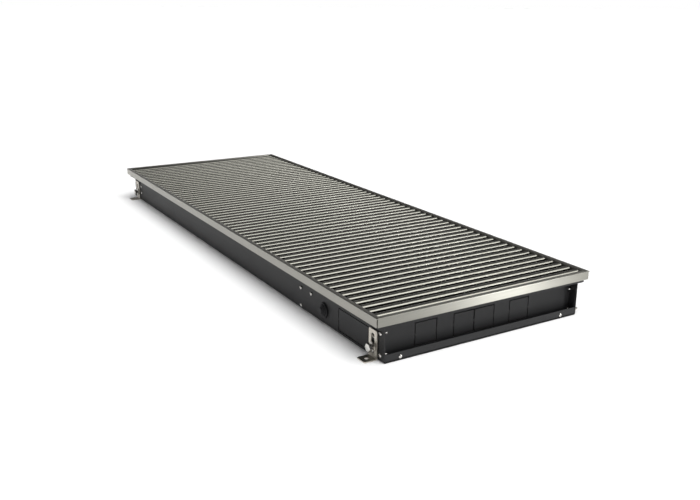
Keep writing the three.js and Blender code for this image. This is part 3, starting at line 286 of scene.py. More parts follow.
# %% Plated and bare metals
SCRATCHES = 2200.0  # in a metre: fine marks of handling, drawn coarser than real ones


def cloudy_metal(name, dark, light, roughness, patch, cells=False):
    """A metal whose tone drifts in patches of a real size."""
    material, tree, shader = start_material(name, Metallic=1.0, Roughness=roughness)
    place = add_node(tree, "ShaderNodeTexCoord")
    kind = "ShaderNodeTexVoronoi" if cells else "ShaderNodeTexNoise"
    pattern = add_node(tree, kind, values={"Scale": 1 / patch},
                       links={"Vector": place.outputs["Object"]})
    if cells:
        tone = add_node(tree, "ShaderNodeSeparateXYZ",
                        links={"Vector": pattern.outputs["Color"]}).outputs["X"]
    else:
        tone = pattern.outputs["Fac"]
    two_tones(tree, shader, tone, dark, light)
    tree.links.new(spread(tree, tone, roughness - 0.06, roughness + 0.08),
                   shader.inputs["Roughness"])
    scratch = add_node(tree, "ShaderNodeTexNoise", values={"Scale": SCRATCHES, "Detail": 2.0},
                       links={"Vector": place.outputs["Object"]})
    bump(tree, shader, scratch.outputs["Fac"], 0.02 * MM, 0.4)
    return material


# Satin plating blurs what it mirrors, bright plating shows it.
bracket_zinc = cloudy_metal("zinc_plate_satin", "#b9b4aa", "#d2cdc3", 0.4, 6 * MM)
bright_zinc = cloudy_metal("zinc_plate_bright", "#c4c2bd", "#e2e0dc", 0.2, 3 * MM)
# Zinc that froze on hot sheet shows its crystals.
galvanised = cloudy_metal("galvanised_spangle", "#8b8f91", "#b4b8ba", 0.38, 8 * MM, cells=True)
# Rolled and drawn metal is smooth and drifts slowly, a casting is duller and mottled.
fin_metal = cloudy_metal("mill_finish_aluminium", "#b9bcbd", "#d6d8d8", 0.3, 20 * MM)
copper = cloudy_metal("drawn_copper", "#9a5a3a", "#c07a50", 0.28, 12 * MM)
brass = cloudy_metal("cast_brass", "#a88a48", "#c9aa62", 0.34, 5 * MM)
print("metals:", [metal.name for metal in (bracket_zinc, bright_zinc, galvanised, fin_metal,
                                           copper, brass)])

# %% [markdown]
# ## Rubber and plastics
# The grommet and rest strips are matt black rubber, a very dark grey with a soft bloom. The
# control box is moulded plastic with spark-eroded texture, and the motor's shell is a grey one.
# A mould leaves the same fine grain everywhere, so a single noise of that grain drives tone,
# roughness and bump together.

# %% Rubber and plastics
def moulded(name, dark, light, roughness, grain):
    """A moulded skin with a fine texture of a real grain size."""
    material, tree, shader = start_material(name, Roughness=roughness)
    place = add_node(tree, "ShaderNodeTexCoord")
    skin = add_node(tree, "ShaderNodeTexNoise", values={"Scale": 1 / grain, "Detail": 2.0},
                    links={"Vector": place.outputs["Object"]})
    two_tones(tree, shader, skin.outputs["Fac"], dark, light)
    tree.links.new(spread(tree, skin.outputs["Fac"], roughness - 0.08, roughness + 0.08),
                   shader.inputs["Roughness"])
    bump(tree, shader, skin.outputs["Fac"], 0.04 * MM, 0.5)
    return material


rubber = moulded("black_rubber", "#101012", "#1b1b1e", 0.62, 1.2 * MM)
box_plastic = moulded("black_box_plastic", "#1b1c1e", "#242628", 0.48, 0.8 * MM)
grey_plastic = moulded("grey_shell_plastic", "#55585b", "#66696c", 0.5, 0.8 * MM)
print("mouldings:", [skin.name for skin in (rubber, box_plastic, grey_plastic)])

# %% [markdown]
# ## Dressing the frame
# Each node of the engineering model names a slot in its record. The slot says what the piece is
# made of, so one table from slot to finish dresses them all, which is surer than a list of names.
# The two pairs of frame profiles need their brush lines in different directions.

# %% Finishes by slot
FINISHES = {
    "black_powder_coat": coat,
    "frame_aluminium": frame_along_y,
    "grille_aluminium": grille_metal,
    "corner_key": key_coat,
    "black_rubber": rubber,
    "bright_zinc": bright_zinc,
    "bracket_zinc": bracket_zinc,
    "fin_aluminium": fin_metal,
    "copper_tube": copper,
    "brass_casting": brass,
    "galvanised_sheet": galvanised,
    "box_plastic": box_plastic,
    "motor_grey": grey_plastic,
}


def dress(thing, material):
    thing.data.materials.clear()
    thing.data.materials.append(material)


for part in frame["record"]["subparts"]:
    dress(nodes[part["node"]], FINISHES[part["material_slot"]])
for name in ("frame_near", "frame_far"):
    dress(nodes[name], frame_along_x)

# %% [markdown]
# ## A lathe
# The pieces that the eye comes close to are modelled again, each in millimetres with modelling
# operators. They could be cut out of cylinders and boxes, but tools that work as the real
# workshop does give clean meshes and honest edges. The first is a lathe: it turns a profile round
# an axis. Points that meet on the axis are merged, and the edge that is left along it is removed.

# %% Lathe
MERGE = 1e-4  # mm, points closer than this are one


def turned(profile, steps=32):
    """A body of revolution about the X axis, from (along, radius) points."""
    shape = bmesh.new()
    chain = [shape.verts.new((along, radius, 0)) for along, radius in profile]
    for start, end in zip(chain, chain[1:]):
        shape.edges.new((start, end))
    bmesh.ops.spin(shape, geom=shape.verts[:] + shape.edges[:], cent=(0, 0, 0), axis=(1, 0, 0),
                   dvec=(0, 0, 0), angle=math.tau, steps=steps, use_merge=True)
    bmesh.ops.remove_doubles(shape, verts=shape.verts, dist=MERGE)
    bmesh.ops.delete(shape, geom=[edge for edge in shape.edges if not edge.link_faces],
                     context="EDGES")
    return shape


print("the lathe merges points within", MERGE, "mm")

# %% [markdown]
# ## Shears and a folding bench
# Sheet metal starts as a flat blank with its corners rounded and its holes punched, and is then
# folded. Modelled folded from the start, a hole near a bend would be hard to place. So one tool
# cuts the blank from outlines, and the next slices it into narrow strips across the bend and rolls
# them up.

# %% Blank
FLAT = 0.01  # radians, faces that differ less than this are one


def moved(shape, geometry, by):
    """Moves the vertices of a list of geometry."""
    bmesh.ops.translate(shape, vec=by,
                        verts=[part for part in geometry if isinstance(part, bmesh.types.BMVert)])
    return geometry


def add_outline(shape, width, height, corner, middle=(0, 0), segments=6):
    """Adds the edges of a flat rectangle with rounded corners."""
    before = set(shape.verts)
    bmesh.ops.create_grid(shape, x_segments=1, y_segments=1, size=0.5)
    corners = [vert for vert in shape.verts if vert not in before]
    bmesh.ops.scale(shape, vec=(width, height, 1), verts=corners)
    bmesh.ops.translate(shape, vec=(*middle, 0), verts=corners)
    bmesh.ops.bevel(shape, geom=corners, affect="VERTICES", offset=corner * 0.999,
                    segments=segments, profile=0.5, material=-1)


def blank(thickness, *outlines):
    """A flat sheet: the first outline is its edge, the others are holes in it."""
    shape = bmesh.new()
    for outline in outlines:
        add_outline(shape, *outline)
    bmesh.ops.delete(shape, geom=shape.faces[:], context="FACES_ONLY")
    bmesh.ops.triangle_fill(shape, edges=shape.edges[:], use_beauty=True)
    bmesh.ops.dissolve_limit(shape, angle_limit=FLAT, verts=shape.verts[:], edges=shape.edges[:])
    moved(shape, bmesh.ops.extrude_face_region(shape, geom=shape.faces[:])["geom"],
          (0, 0, thickness))
    return shape


print("faces within", round(math.degrees(FLAT), 2), "degrees of each other are joined")


# %% Fold
def fold(shape, start, radius, steps=6):
    """Rolls up what lies past X = start round an outside radius, to a right angle."""
    arc = radius * math.pi / 2
    for step in range(steps + 1):
        bmesh.ops.bisect_plane(shape, geom=shape.verts[:] + shape.edges[:] + shape.faces[:],
                               plane_co=(start + arc * step / steps, 0, 0), plane_no=(1, 0, 0))
    for vert in shape.verts:
        past = vert.co.x - start
        if past > 0:
            turn = min(past, arc) / radius
            straight = max(past - arc, 0)
            depth = radius - vert.co.z
            vert.co.x = start + depth * math.sin(turn) + straight * math.cos(turn)
            vert.co.z = radius - depth * math.cos(turn) + straight * math.sin(turn)
    return shape


print("a bend of 3.5 mm outside radius uses up", round(3.5 * math.pi / 2, 1), "mm of the strip")

# %% [markdown]
# ## Placing and finishing
# The same screw sits in many places, so a shape is modelled once and copied with a matrix for each
# place. A last tool makes the shape a piece: it moves and is finished like the engineering node
# that it stands for. No real edge is knife-sharp, so a bevel of a few tenths of a millimetre
# catches the light, and faces that meet at a low angle are shaded smoothly.

# %% Copies
SLOT_OF = {part["node"]: part["material_slot"] for part in frame["record"]["subparts"]}
FACING = {"+x": Matrix(), "-x": Matrix.Rotation(math.pi, 4, "Z"),
          "+y": Matrix.Rotation(math.pi / 2, 4, "Z"), "-y": Matrix.Rotation(-math.pi / 2, 4, "Z"),
          "+z": Matrix.Rotation(-math.pi / 2, 4, "Y")}


def box_mm(node):
    """The lowest and highest corner of an engineering node, in millimetres."""
    return [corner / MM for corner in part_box(node)]


def add_copy(shape, source, *places):
    """Adds a copy of one shape to another at each place, a matrix."""
    for place in places:
        mesh = bpy.data.meshes.new("copy")
        source.to_mesh(mesh)
        mesh.transform(place)
        shape.from_mesh(mesh)
        bpy.data.meshes.remove(mesh)
    return shape


print("directions:", list(FACING))

# %% Pieces
SMOOTH_BELOW = math.radians(34)
EASE_ABOVE = math.radians(40)


def as_piece(shape, name, kin, stands_in=True, slot=None, ease=0.0, ease_steps=2):
    """Makes a shape in millimetres a piece that moves and is finished as node kin."""
    slot = slot or SLOT_OF[kin]
    bmesh.ops.scale(shape, vec=(MM, MM, MM), verts=shape.verts)
    bmesh.ops.recalc_face_normals(shape, faces=shape.faces)
    mesh = bpy.data.meshes.new(name)
    shape.to_mesh(mesh)
    shape.free()
    mesh.shade_smooth()
    mesh.set_sharp_from_angle(angle=SMOOTH_BELOW)
    piece = bpy.data.objects.new(name, mesh)
    bpy.context.scene.collection.objects.link(piece)
    mesh.materials.append(FINISHES[slot])
    if ease:
        bevel = piece.modifiers.new("eased_edges", "BEVEL")
        bevel.width = ease * MM
        bevel.segments = ease_steps
        bevel.limit_method = "ANGLE"
        bevel.angle_limit = EASE_ABOVE
        bevel.harden_normals = True
    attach(piece, nodes[kin]["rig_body"])
    if stands_in:
        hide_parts(kin)
    return piece


print("edges turn sharp at", round(math.degrees(SMOOTH_BELOW)), "degrees")

# %% [markdown]
# ## Roll-up grille
# Sixty-one aluminium bars lie across the trough. Each is an extrusion with an arched crown, small
# shoulders and sides that draw in a little towards the foot. The arch matters most: it is what
# draws the thin bright line along each bar. A box with rounded edges would show a flat top, so the
# section is drawn with operators: a spun arc for the crown, eased shoulders, then it is extruded
# once and copied. Its length comes from the engineering model.

# %% Section of a bar
BAR_WIDTH = 11.0
BAR_FOOT = 9.0
BAR_HEIGHT = 12.0
CROWN_RISE = 3.0
SHOULDER = 0.5


def bar_shape(length):
    """One bar, its foot on Z = 0, with its length along X."""
    shape = bmesh.new()
    half = BAR_WIDTH / 2
    shoulder_height = BAR_HEIGHT - CROWN_RISE
    radius = (half ** 2 + CROWN_RISE ** 2) / (2 * CROWN_RISE)
    corner = shape.verts.new((0, -half, shoulder_height))
    bmesh.ops.spin(shape, geom=[corner], cent=(0, 0, BAR_HEIGHT - radius), axis=(-1, 0, 0),
                   dvec=(0, 0, 0), angle=2 * math.asin(half / radius), steps=8)
    ends = [vert for vert in shape.verts if len(vert.link_edges) == 1]
    feet = [shape.verts.new((0, math.copysign(BAR_FOOT / 2, end.co.y), 0)) for end in ends]
    for end, foot in zip(ends, feet):
        shape.edges.new((end, foot))
    shape.edges.new(feet)
    bmesh.ops.bevel(shape, geom=ends, affect="VERTICES", offset=SHOULDER, segments=3,
                    profile=0.5, material=-1)
    face = bmesh.ops.contextual_create(shape, geom=shape.edges[:])["faces"]
    bmesh.ops.translate(shape, vec=(-length / 2, 0, 0), verts=shape.verts)
    moved(shape, bmesh.ops.extrude_face_region(shape, geom=face)["geom"], (length, 0, 0))
    return shape


print("radius of the crown:",
      round(((BAR_WIDTH / 2) ** 2 + CROWN_RISE ** 2) / (2 * CROWN_RISE), 2), "mm")

# %% Row of bars
BAR_COUNT = 61
BAR_PITCH = 20.5

grille_low, grille_high = box_mm("roll_up_grille")
first_bar = -(BAR_COUNT - 1) * BAR_PITCH / 2
bar = bar_shape(grille_high.x - grille_low.x)
bars = bmesh.new()
add_copy(bars, bar, *(Matrix.Translation((0, first_bar + index * BAR_PITCH, grille_low.z))
                      for index in range(BAR_COUNT)))
bar.free()
grille = as_piece(bars, "grille_bars", "roll_up_grille")
print("bars:", BAR_COUNT, "faces:", len(grille.data.polygons))

# %% [markdown]
# ## Wires and sleeves
# Two wires thread the bars together, with a plastic sleeve in every gap to keep the pitch, so
# that the whole grille rolls up. Both are turned. A sleeve is repeated in each gap, so it has few
# faces. The ends of a wire are riveted over, which shows as a small head past the last bar.

# %% Wires and sleeves
WIRE_PLACES = (-118, 118)
WIRE_HEIGHT = 4.6
WIRE_RADIUS = 1.1
SLEEVE_RADIUS = 2.2
WIRE_END = 3.0

gap = BAR_PITCH - BAR_WIDTH
sleeve = turned([(0.2, WIRE_RADIUS), (0.2, SLEEVE_RADIUS - 0.4), (0.6, SLEEVE_RADIUS),
                 (gap - 0.6, SLEEVE_RADIUS), (gap - 0.2, SLEEVE_RADIUS - 0.4),
                 (gap - 0.2, WIRE_RADIUS), (0.2, WIRE_RADIUS)], steps=12)
sleeves = bmesh.new()
wires = bmesh.new()
reach = BAR_WIDTH / 2 + WIRE_END - first_bar
wire = turned([(-reach, 0), (-reach, SLEEVE_RADIUS - 0.3), (-reach + 0.3, SLEEVE_RADIUS),
               (-reach + WIRE_END - 0.3, SLEEVE_RADIUS), (-reach + WIRE_END - 0.3, WIRE_RADIUS),
               (reach - WIRE_END + 0.3, WIRE_RADIUS), (reach - WIRE_END + 0.3, SLEEVE_RADIUS),
               (reach - 0.3, SLEEVE_RADIUS), (reach, SLEEVE_RADIUS - 0.3), (reach, 0)], steps=12)
for across in WIRE_PLACES:
    level = grille_low.z + WIRE_HEIGHT
    add_copy(wires, wire, Matrix.Translation((across, 0, level)) @ FACING["+y"])
    add_copy(sleeves, sleeve, *(
        Matrix.Translation((across, first_bar + BAR_WIDTH / 2 + index * BAR_PITCH, level))
        @ FACING["+y"] for index in range(BAR_COUNT - 1)))
wire.free()
sleeve.free()
as_piece(wires, "grille_wires", "roll_up_grille", stands_in=False, slot="bright_zinc")
as_piece(sleeves, "grille_sleeves", "roll_up_grille", stands_in=False, slot="black_rubber")
print("sleeves:", 2 * (BAR_COUNT - 1))

# %% [markdown]
# ## Profiles and folded sheets
# The frame profiles, trough, end plates and sills run along straight lines that the engineering
# model already has in full. Only its knife-sharp edges look drawn: a saw cut is deburred and a
# powder coat creeps round a corner. They could be modelled again from nothing, at the risk of a
# misfit. So these are the engineering shapes, merged, with a rounding of a few tenths of a
# millimetre on every edge. The slits round the knock-outs are opened a little, so that they read
# as dark lines from a few steps away.

# %% Easing
SLIT = 0.9
SLIT_EXTRA = 0.4  # how far each edge of a slit moves
KNOCKOUT_HEIGHT = 39.0


def eased(node, width, slits=()):
    """The engineering piece with its edges rounded off and its slits opened.

    A slit runs round a rectangle: the axis of its length, the middle, the level, the length.
    """
    shape = bmesh.new()
    shape.from_mesh(nodes[node].data)
    bmesh.ops.scale(shape, vec=(1 / MM, 1 / MM, 1 / MM), verts=shape.verts)
    bmesh.ops.remove_doubles(shape, verts=shape.verts, dist=0.01)
    bmesh.ops.dissolve_limit(shape, angle_limit=math.radians(1), verts=shape.verts[:],
                             edges=shape.edges[:])
    for long_axis, centre, level, length in slits:
        halves = {long_axis: length / 2, 2: KNOCKOUT_HEIGHT / 2}
        for vert in shape.verts:
            off = {long_axis: vert.co[long_axis] - centre, 2: vert.co.z - level}
            if all(abs(off[axis]) < halves[axis] + SLIT for axis in off):
                for axis in off:
                    past = abs(off[axis]) - halves[axis]
                    if abs(past) < SLIT:
                        wider = math.copysign(SLIT_EXTRA, past) * math.copysign(1, off[axis])
                        vert.co[axis] += wider
    piece = as_piece(shape, node + "_eased", node, ease=width)
    piece.data.materials[0] = nodes[node].data.materials[0]
    return piece


print("a slit is", SLIT + 2 * SLIT_EXTRA, "mm wide in the lesson")

# %% Frame, end plates and trough
PROFILE_EASE, SHEET_EASE = 0.3, 0.15
KNOCKOUT_PLACES = (-112.5, -36.4, 5.4, 81.2)
KNOCKOUT_LEVEL, KNOCKOUT_LENGTH = 28.5, 41.8
SIDE_KNOCKOUT = (1, -537.5, 25.5, 91.0)

for end in ("near", "far", "left", "right"):
    eased("frame_" + end, PROFILE_EASE)
for end, side in (("near", 1), ("far", -1)):  # the far plate is turned round
    eased("end_plate_" + end, SHEET_EASE,
          [(0, side * across, KNOCKOUT_LEVEL, KNOCKOUT_LENGTH) for across in KNOCKOUT_PLACES])
eased("trough", SHEET_EASE, [SIDE_KNOCKOUT])

# %% [markdown]
# ## End sills
# A narrow angle of the same black sheet closes the foot of each end. It is one straight fold, so
# a box would look much the same. Folded from its strip, it has the bend and the sheet thickness
# of the real one.

# %% Folded sills
SILL_FOOT, SILL_FOLD, SILL_HEIGHT, SILL_WIDTH = 12.0, 2.0, 12.5, 399.0
SILL_FACE = 629.0
SILL_SHEET, SILL_CORNER, SILL_LIFT = 1.2, 0.4, 2.0

sill_strip = SILL_FOOT + SILL_HEIGHT + SILL_FOLD * (math.pi / 2 - 2)
sill = fold(blank(SILL_SHEET, (sill_strip, SILL_WIDTH, SILL_CORNER, (sill_strip / 2, 0))),
            SILL_FOOT - SILL_FOLD, SILL_FOLD)
for name, end in (("end_sill_near", -1), ("end_sill_far", 1)):
    place = (Matrix.Translation((0, end * (SILL_FACE - SILL_FOOT), SILL_LIFT))
             @ FACING["-y" if end < 0 else "+y"])
    as_piece(add_copy(bmesh.new(), sill, place), "folded_" + name, name, ease=PROFILE_EASE)
sill.free()
print("flat strip for a sill:", round(sill_strip, 1), "mm")

# %% [markdown]
# ## Levelling feet
# Each foot is a zinc-plated strip, 23 mm wide and 2 mm thick, with a long slot for the clamp bolt
# and a hole for a floor screw. It could be two plates put together at a right angle, but then
# the bend would be missing. It is blanked flat and then folded, so it is modelled the same way.
# The lengths below are measured along the flat strip from the toe.

# %% Folded feet
FOOT_SHEET, FOOT_WIDTH, FOOT_BEND = 2.0, 23.0, 3.5
FOOT_TOE, FOOT_WALL, FOOT_TOP = 225.9, 201.9, 48.0
FOOT_CORNER = 3.0
FOOT_SLOT, FOOT_SLOT_WIDTH, FOOT_SLOT_MIDDLE = 34.0, 9.0, 25.0
FOOT_HOLE, FOOT_HOLE_MIDDLE = 7.0, 11.0
FOOT_PLACE = 600.5

flat = FOOT_TOE - FOOT_WALL - FOOT_BEND
past_bend = flat + FOOT_BEND * math.pi / 2 - FOOT_BEND
strip = past_bend + FOOT_TOP
foot = fold(blank(FOOT_SHEET, (strip, FOOT_WIDTH, FOOT_CORNER, (strip / 2, 0)),
                  (FOOT_SLOT, FOOT_SLOT_WIDTH, FOOT_SLOT_WIDTH / 2,
                   (past_bend + FOOT_SLOT_MIDDLE, 0)),
                  (FOOT_HOLE, FOOT_HOLE, FOOT_HOLE / 2, (FOOT_HOLE_MIDDLE, 0))),
            flat, FOOT_BEND)
CORNERS = {end + "_" + side: (across, along)
           for end, along in (("near", -1), ("far", 1))
           for side, across in (("left", -1), ("right", 1))}
for corner, (across, along) in CORNERS.items():
    inwards = (Matrix.Translation((across * FOOT_TOE, along * FOOT_PLACE, 0))
               @ FACING["-x" if across > 0 else "+x"])
    as_piece(add_copy(bmesh.new(), foot, inwards), "folded_foot_" + corner,
             "foot_bracket_" + corner, ease=0.25)
foot.free()
print("flat strip for a foot:", round(strip, 1), "mm")

# %% [markdown]
# ## Clamp bolts and bushes
# An M8 bolt holds each foot in a threaded bush in the side wall, through a broad washer. The bolt
# isn't screwed home, so a few turns of thread show between washer and head. The bushes are pressed
# into the wall in pairs, the upper one spare, and stay bright because the coat is kept off them.
# A real thread is a helix. At this size plain ridges at the same pitch look alike, and they come
# off the lathe with the rest.

# %% Thread and wall
WALL = 201.0  # outer face of the side walls, from the middle


def outwards(across, along, height):
    """The place and turn of a piece on a side wall, its X axis pointing outwards."""
    return (Matrix.Translation((across * WALL, along, height))
            @ FACING["+x" if across > 0 else "-x"])


def thread(start, end, root, crest, pitch):
    """Profile points of a rolled thread between two places on a shank."""
    points = []
    for turn in range(int((end - start) / pitch)):
        begin = start + turn * pitch
        points += [(begin, root), (begin + 0.4 * pitch, crest), (begin + 0.6 * pitch, crest)]
    return points


print("walls are", 2 * WALL, "mm apart")

# %% Bolt
BOLT_PITCH, BOLT_ROOT, BOLT_CREST = 1.25, 3.4, 3.95
HEAD_START, HEAD_DEPTH, HEAD_RADIUS = 7.4, 5.3, 6.5 / math.cos(math.pi / 6)

bolt = turned([(-10.2, 0), (-10.2, 3.0), *thread(-9.6, 3.0, BOLT_ROOT, BOLT_CREST, BOLT_PITCH),
               (3.2, 3.9), (3.2, 7.7), (3.4, 7.9), (4.6, 7.9), (4.8, 7.7), (4.8, 3.9),
               *thread(4.9, HEAD_START, BOLT_ROOT, BOLT_CREST, BOLT_PITCH), (7.6, 3.6), (9.0, 3.6),
               (9.0, 0)])
head = bmesh.new()
bmesh.ops.create_cone(head, cap_ends=True, segments=6, radius1=HEAD_RADIUS, radius2=HEAD_RADIUS,
                      depth=HEAD_DEPTH)
outer = [edge for edge in head.edges if all(vert.co.z > 0 for vert in edge.verts)]
bmesh.ops.bevel(head, geom=outer, affect="EDGES", offset=0.7, segments=3, profile=0.5, material=-1)
add_copy(bolt, head, Matrix.Translation((HEAD_START + HEAD_DEPTH / 2, 0, 0))
         @ Matrix.Rotation(math.pi / 2, 4, "Y"))
head.free()
print("bolt thread pitch", BOLT_PITCH, "mm")

# %% Bolts and bushes in place
BOLT_HEIGHT, SPARE_HEIGHT = 19.0, 39.0

bush = turned([(-8.2, 4.2), (-8.2, 5.3), (-7.9, 5.6), (-1.15, 5.6), (-1.15, 5.0), (-0.1, 5.0),
               (-0.1, 6.55), (0.45, 6.55), (0.7, 6.3), (0.7, 4.6), (0.3, 4.2), (-8.2, 4.2)])
bushes = bmesh.new()
for corner, (across, along) in CORNERS.items():
    as_piece(add_copy(bmesh.new(), bolt, outwards(across, along * FOOT_PLACE, BOLT_HEIGHT)),
             "threaded_bolt_" + corner, "clamp_bolt_" + corner)
    add_copy(bushes, bush, *(outwards(across, along * FOOT_PLACE, height)
                             for height in (BOLT_HEIGHT, SPARE_HEIGHT)))
as_piece(bushes, "foot_bushes", "trough", stands_in=False, slot="bright_zinc")
bolt.free()
bush.free()
print("bushes:", 2 * len(CORNERS))

# %% [markdown]
# ## Sheet-metal screws
# Thirteen pan-head screws come through the side walls: two at each end plate flange, four for the
# fan housing, one for the control box. Each has a domed head with a cross recess. It is turned on
# the lathe. A boolean could cut the cross, but slicing the head and pressing the slices inwards
# keeps the mesh small and closed, as the punch in the real header does.

# %% Cross recess
def press_cross(shape, above, reach, half_width, depth):
    """Presses a cross into the end of a turned piece."""
    for across in (Vector((0, 1, 0)), Vector((0, 0, 1))):
        for offset in (-reach, -half_width, half_width, reach):
            top = [face for face in shape.faces if face.calc_center_median().x > above]
            around = {part for face in top for part in (face, *face.edges, *face.verts)}
            bmesh.ops.bisect_plane(shape, geom=list(around), plane_co=across * offset,
                                   plane_no=across, dist=MERGE)
    arms = []
    for face in shape.faces:
        centre = face.calc_center_median()
        short, long = sorted((abs(centre.y), abs(centre.z)))
        if centre.x > above and short < half_width and long < reach:
            arms.append(face)
    pressed = bmesh.ops.extrude_face_region(shape, geom=arms)["geom"]
    bmesh.ops.delete(shape, geom=arms, context="FACES")
    moved(shape, pressed, (-depth, 0, 0))
    return shape


screw = turned([(-11.2, 0), (-11.2, 1.3), (-10.6, 1.75), (-0.1, 1.75), (-0.1, 3.25), (0.9, 3.3),
                (1.7, 2.95), (2.2, 2.3), (2.45, 1.4), (2.5, 0)], steps=16)
press_cross(screw, above=1.9, reach=1.9, half_width=0.45, depth=1.1)
print("faces of a screw:", len(screw.faces))

# %% Screws in place
screw_nodes = [name for name in nodes if "screw" in name and name != "air_vent_screw"]
for name in screw_nodes:
    low, high = box_mm(name)
    centre = (low + high) / 2
    place = outwards(math.copysign(1, centre.x), centre.y, centre.z)
    as_piece(add_copy(bmesh.new(), screw, place), name + "_pan_head", name)
screw.free()
print("screws:", len(screw_nodes))

# %% [markdown]
# ## Rivets
# Each sill is held by two blind rivets of the same bright finish. They could share the screw's
# shape, but a rivet's head is flatter and has no recess, and a glance tells the two apart.

# %% Rivets
RIVET_PLACES = (-171.2, 164.7)
RIVET_HEIGHT = 6.5

rivet = turned([(-2.5, 0), (-2.5, 1.6), (-0.1, 1.6), (-0.1, 3.0), (0.4, 3.1), (1.0, 2.6),
                (1.4, 1.6), (1.5, 0)], steps=16)
rivets = bmesh.new()
for across in RIVET_PLACES:
    add_copy(rivets, rivet,
             Matrix.Translation((across, -SILL_FACE, RIVET_HEIGHT)) @ FACING["-y"],
             Matrix.Translation((-across, SILL_FACE, RIVET_HEIGHT)) @ FACING["+y"])
as_piece(rivets, "sill_rivets", "trough", stands_in=False, slot="bright_zinc")
rivet.free()
print("rivets:", 2 * len(RIVET_PLACES))

# %% [markdown]
# ## Cable grommet
# A black rubber grommet closes the cable hole. Its nose is a stepped cone: each step is a size at
# which it can be cut off to fit a cable. A groove behind the flange holds it in the sheet. It is
# round all through and hollow behind, so one profile on the lathe gives both its skins.

# %% Grommet
low, high = box_mm("cable_grommet")
centre = (low + high) / 2
grommet = turned([(-5.5, 8.5), (-5.5, 11.6), (-4.6, 12.6), (-1.5, 12.6), (-1.3, 11.0), (0.1, 11.0),
                  (0.1, 13.4), (0.7, 13.6), (2.4, 13.6), (3.2, 12.9), (3.2, 11.0), (4.9, 10.6),
                  (5.0, 8.9), (6.7, 8.5), (6.8, 6.9), (8.4, 6.5), (8.6, 5.6), (9.2, 5.2), (9.2, 0),
                  (7.6, 0), (7.6, 4.6), (3.0, 8.0), (-5.5, 8.5)], steps=40)
as_piece(add_copy(bmesh.new(), grommet, outwards(-1, centre.y, centre.z)), "stepped_grommet",
         "cable_grommet", ease=0.2)
grommet.free()
print("grommet at", [round(value, 1) for value in centre])

# %% [markdown]
# ## Fins of the heat exchanger
# Under the grille, thin aluminium fins sit on a copper tube that goes out, turns back and returns.
# The fins are stamped, all alike, with a drawn collar round each tube hole that keeps the next fin
# 5 mm away. Each could be a mesh of its own. One fin with its collars, repeated by a modifier,
# looks the same and stays easy to change.

# %% Fins
FIN_PITCH = 5.0
FIN_SHEET = 0.4
FIN_CORNER = 1.5
TUBE_PLACES = (95.0, 145.0)
TUBE_LEVEL = 32.0
TUBE_HOLE = 15.6

pack_low, pack_high = box_mm("fin_pack")
pack_size, pack_middle = pack_high - pack_low, (pack_low + pack_high) / 2
holes = [(TUBE_HOLE, TUBE_HOLE, TUBE_HOLE / 2, (across - pack_middle.x, 0), 3)
         for across in TUBE_PLACES]
fin_flat = blank(FIN_SHEET, (pack_size.x, pack_size.z, FIN_CORNER, (0, 0), 2), *holes)
collar = turned([(0, 7.7), (0, 8.3), (FIN_PITCH - FIN_SHEET, 8.1), (FIN_PITCH - FIN_SHEET, 7.7),
                 (0, 7.7)], steps=12)
fin = add_copy(bmesh.new(), fin_flat, Matrix.Translation((pack_middle.x, pack_low.y, TUBE_LEVEL))
               @ Matrix.Rotation(-math.pi / 2, 4, "X"))
add_copy(fin, collar, *(Matrix.Translation((across, pack_low.y + FIN_SHEET, TUBE_LEVEL))
                        @ FACING["+y"] for across in TUBE_PLACES))
fin_flat.free()
collar.free()
fins = as_piece(fin, "stamped_fins", "fin_pack")
row = fins.modifiers.new("row", "ARRAY")
row.count = int(pack_size.y / FIN_PITCH)
row.use_relative_offset = False
row.use_constant_offset = True
row.constant_offset_displace = (0, FIN_PITCH * MM, 0)
print("fins:", row.count)

# %% [markdown]
# ## Copper tube
# The tube is drawn, then bent once into a hairpin. A curve with a round bevel would do, but the
# same steps as on the bending machine give an even ring of faces all the way: a circle is drawn
# along the pack, spun through a half turn and drawn back.

# %% Copper tube
TUBE_RADIUS = 7.5
TUBE_START, TUBE_BEND = -349.7, 565.2


def edges_of(geometry):
    return [part for part in geometry if isinstance(part, bmesh.types.BMEdge)]


tube = bmesh.new()
bmesh.ops.create_circle(tube, cap_ends=False, segments=24, radius=TUBE_RADIUS,
                        matrix=Matrix.Translation((TUBE_PLACES[0], TUBE_START, TUBE_LEVEL))
                        @ Matrix.Rotation(math.pi / 2, 4, "X"))
drawn = moved(tube, bmesh.ops.extrude_edge_only(tube, edges=tube.edges[:])["geom"],
              (0, TUBE_BEND - TUBE_START, 0))
bend = bmesh.ops.spin(tube, geom=edges_of(drawn),
                      cent=(sum(TUBE_PLACES) / 2, TUBE_BEND, TUBE_LEVEL), axis=(0, 0, 1),
                      dvec=(0, 0, 0), angle=-math.pi, steps=18)["geom_last"]
moved(tube, bmesh.ops.extrude_edge_only(tube, edges=edges_of(bend))["geom"],
      (0, TUBE_START - TUBE_BEND, 0))
bmesh.ops.holes_fill(tube, edges=tube.edges[:], sides=0)
as_piece(tube, "bent_tube", "copper_hairpin")
bend_length = math.pi * (TUBE_PLACES[1] - TUBE_PLACES[0]) / 2
print("tube length:", round(2 * (TUBE_BEND - TUBE_START) + bend_length), "mm")

# %% [markdown]
# ## Connection block
# The two tube ends are soldered into a brass casting with a boss for the air vent. Real castings
# are one piece, with nipples turned and threaded afterwards. So the nipples come off the lathe
# here, and the web and boss between them are simple solids that run into them, as they do in the
# casting pattern.

# %% Connection block
NIPPLE_PITCH = 1.8
BLOCK_FACE, BLOCK_BACK, NIPPLE_END = -370.0, -350.0, -392.0

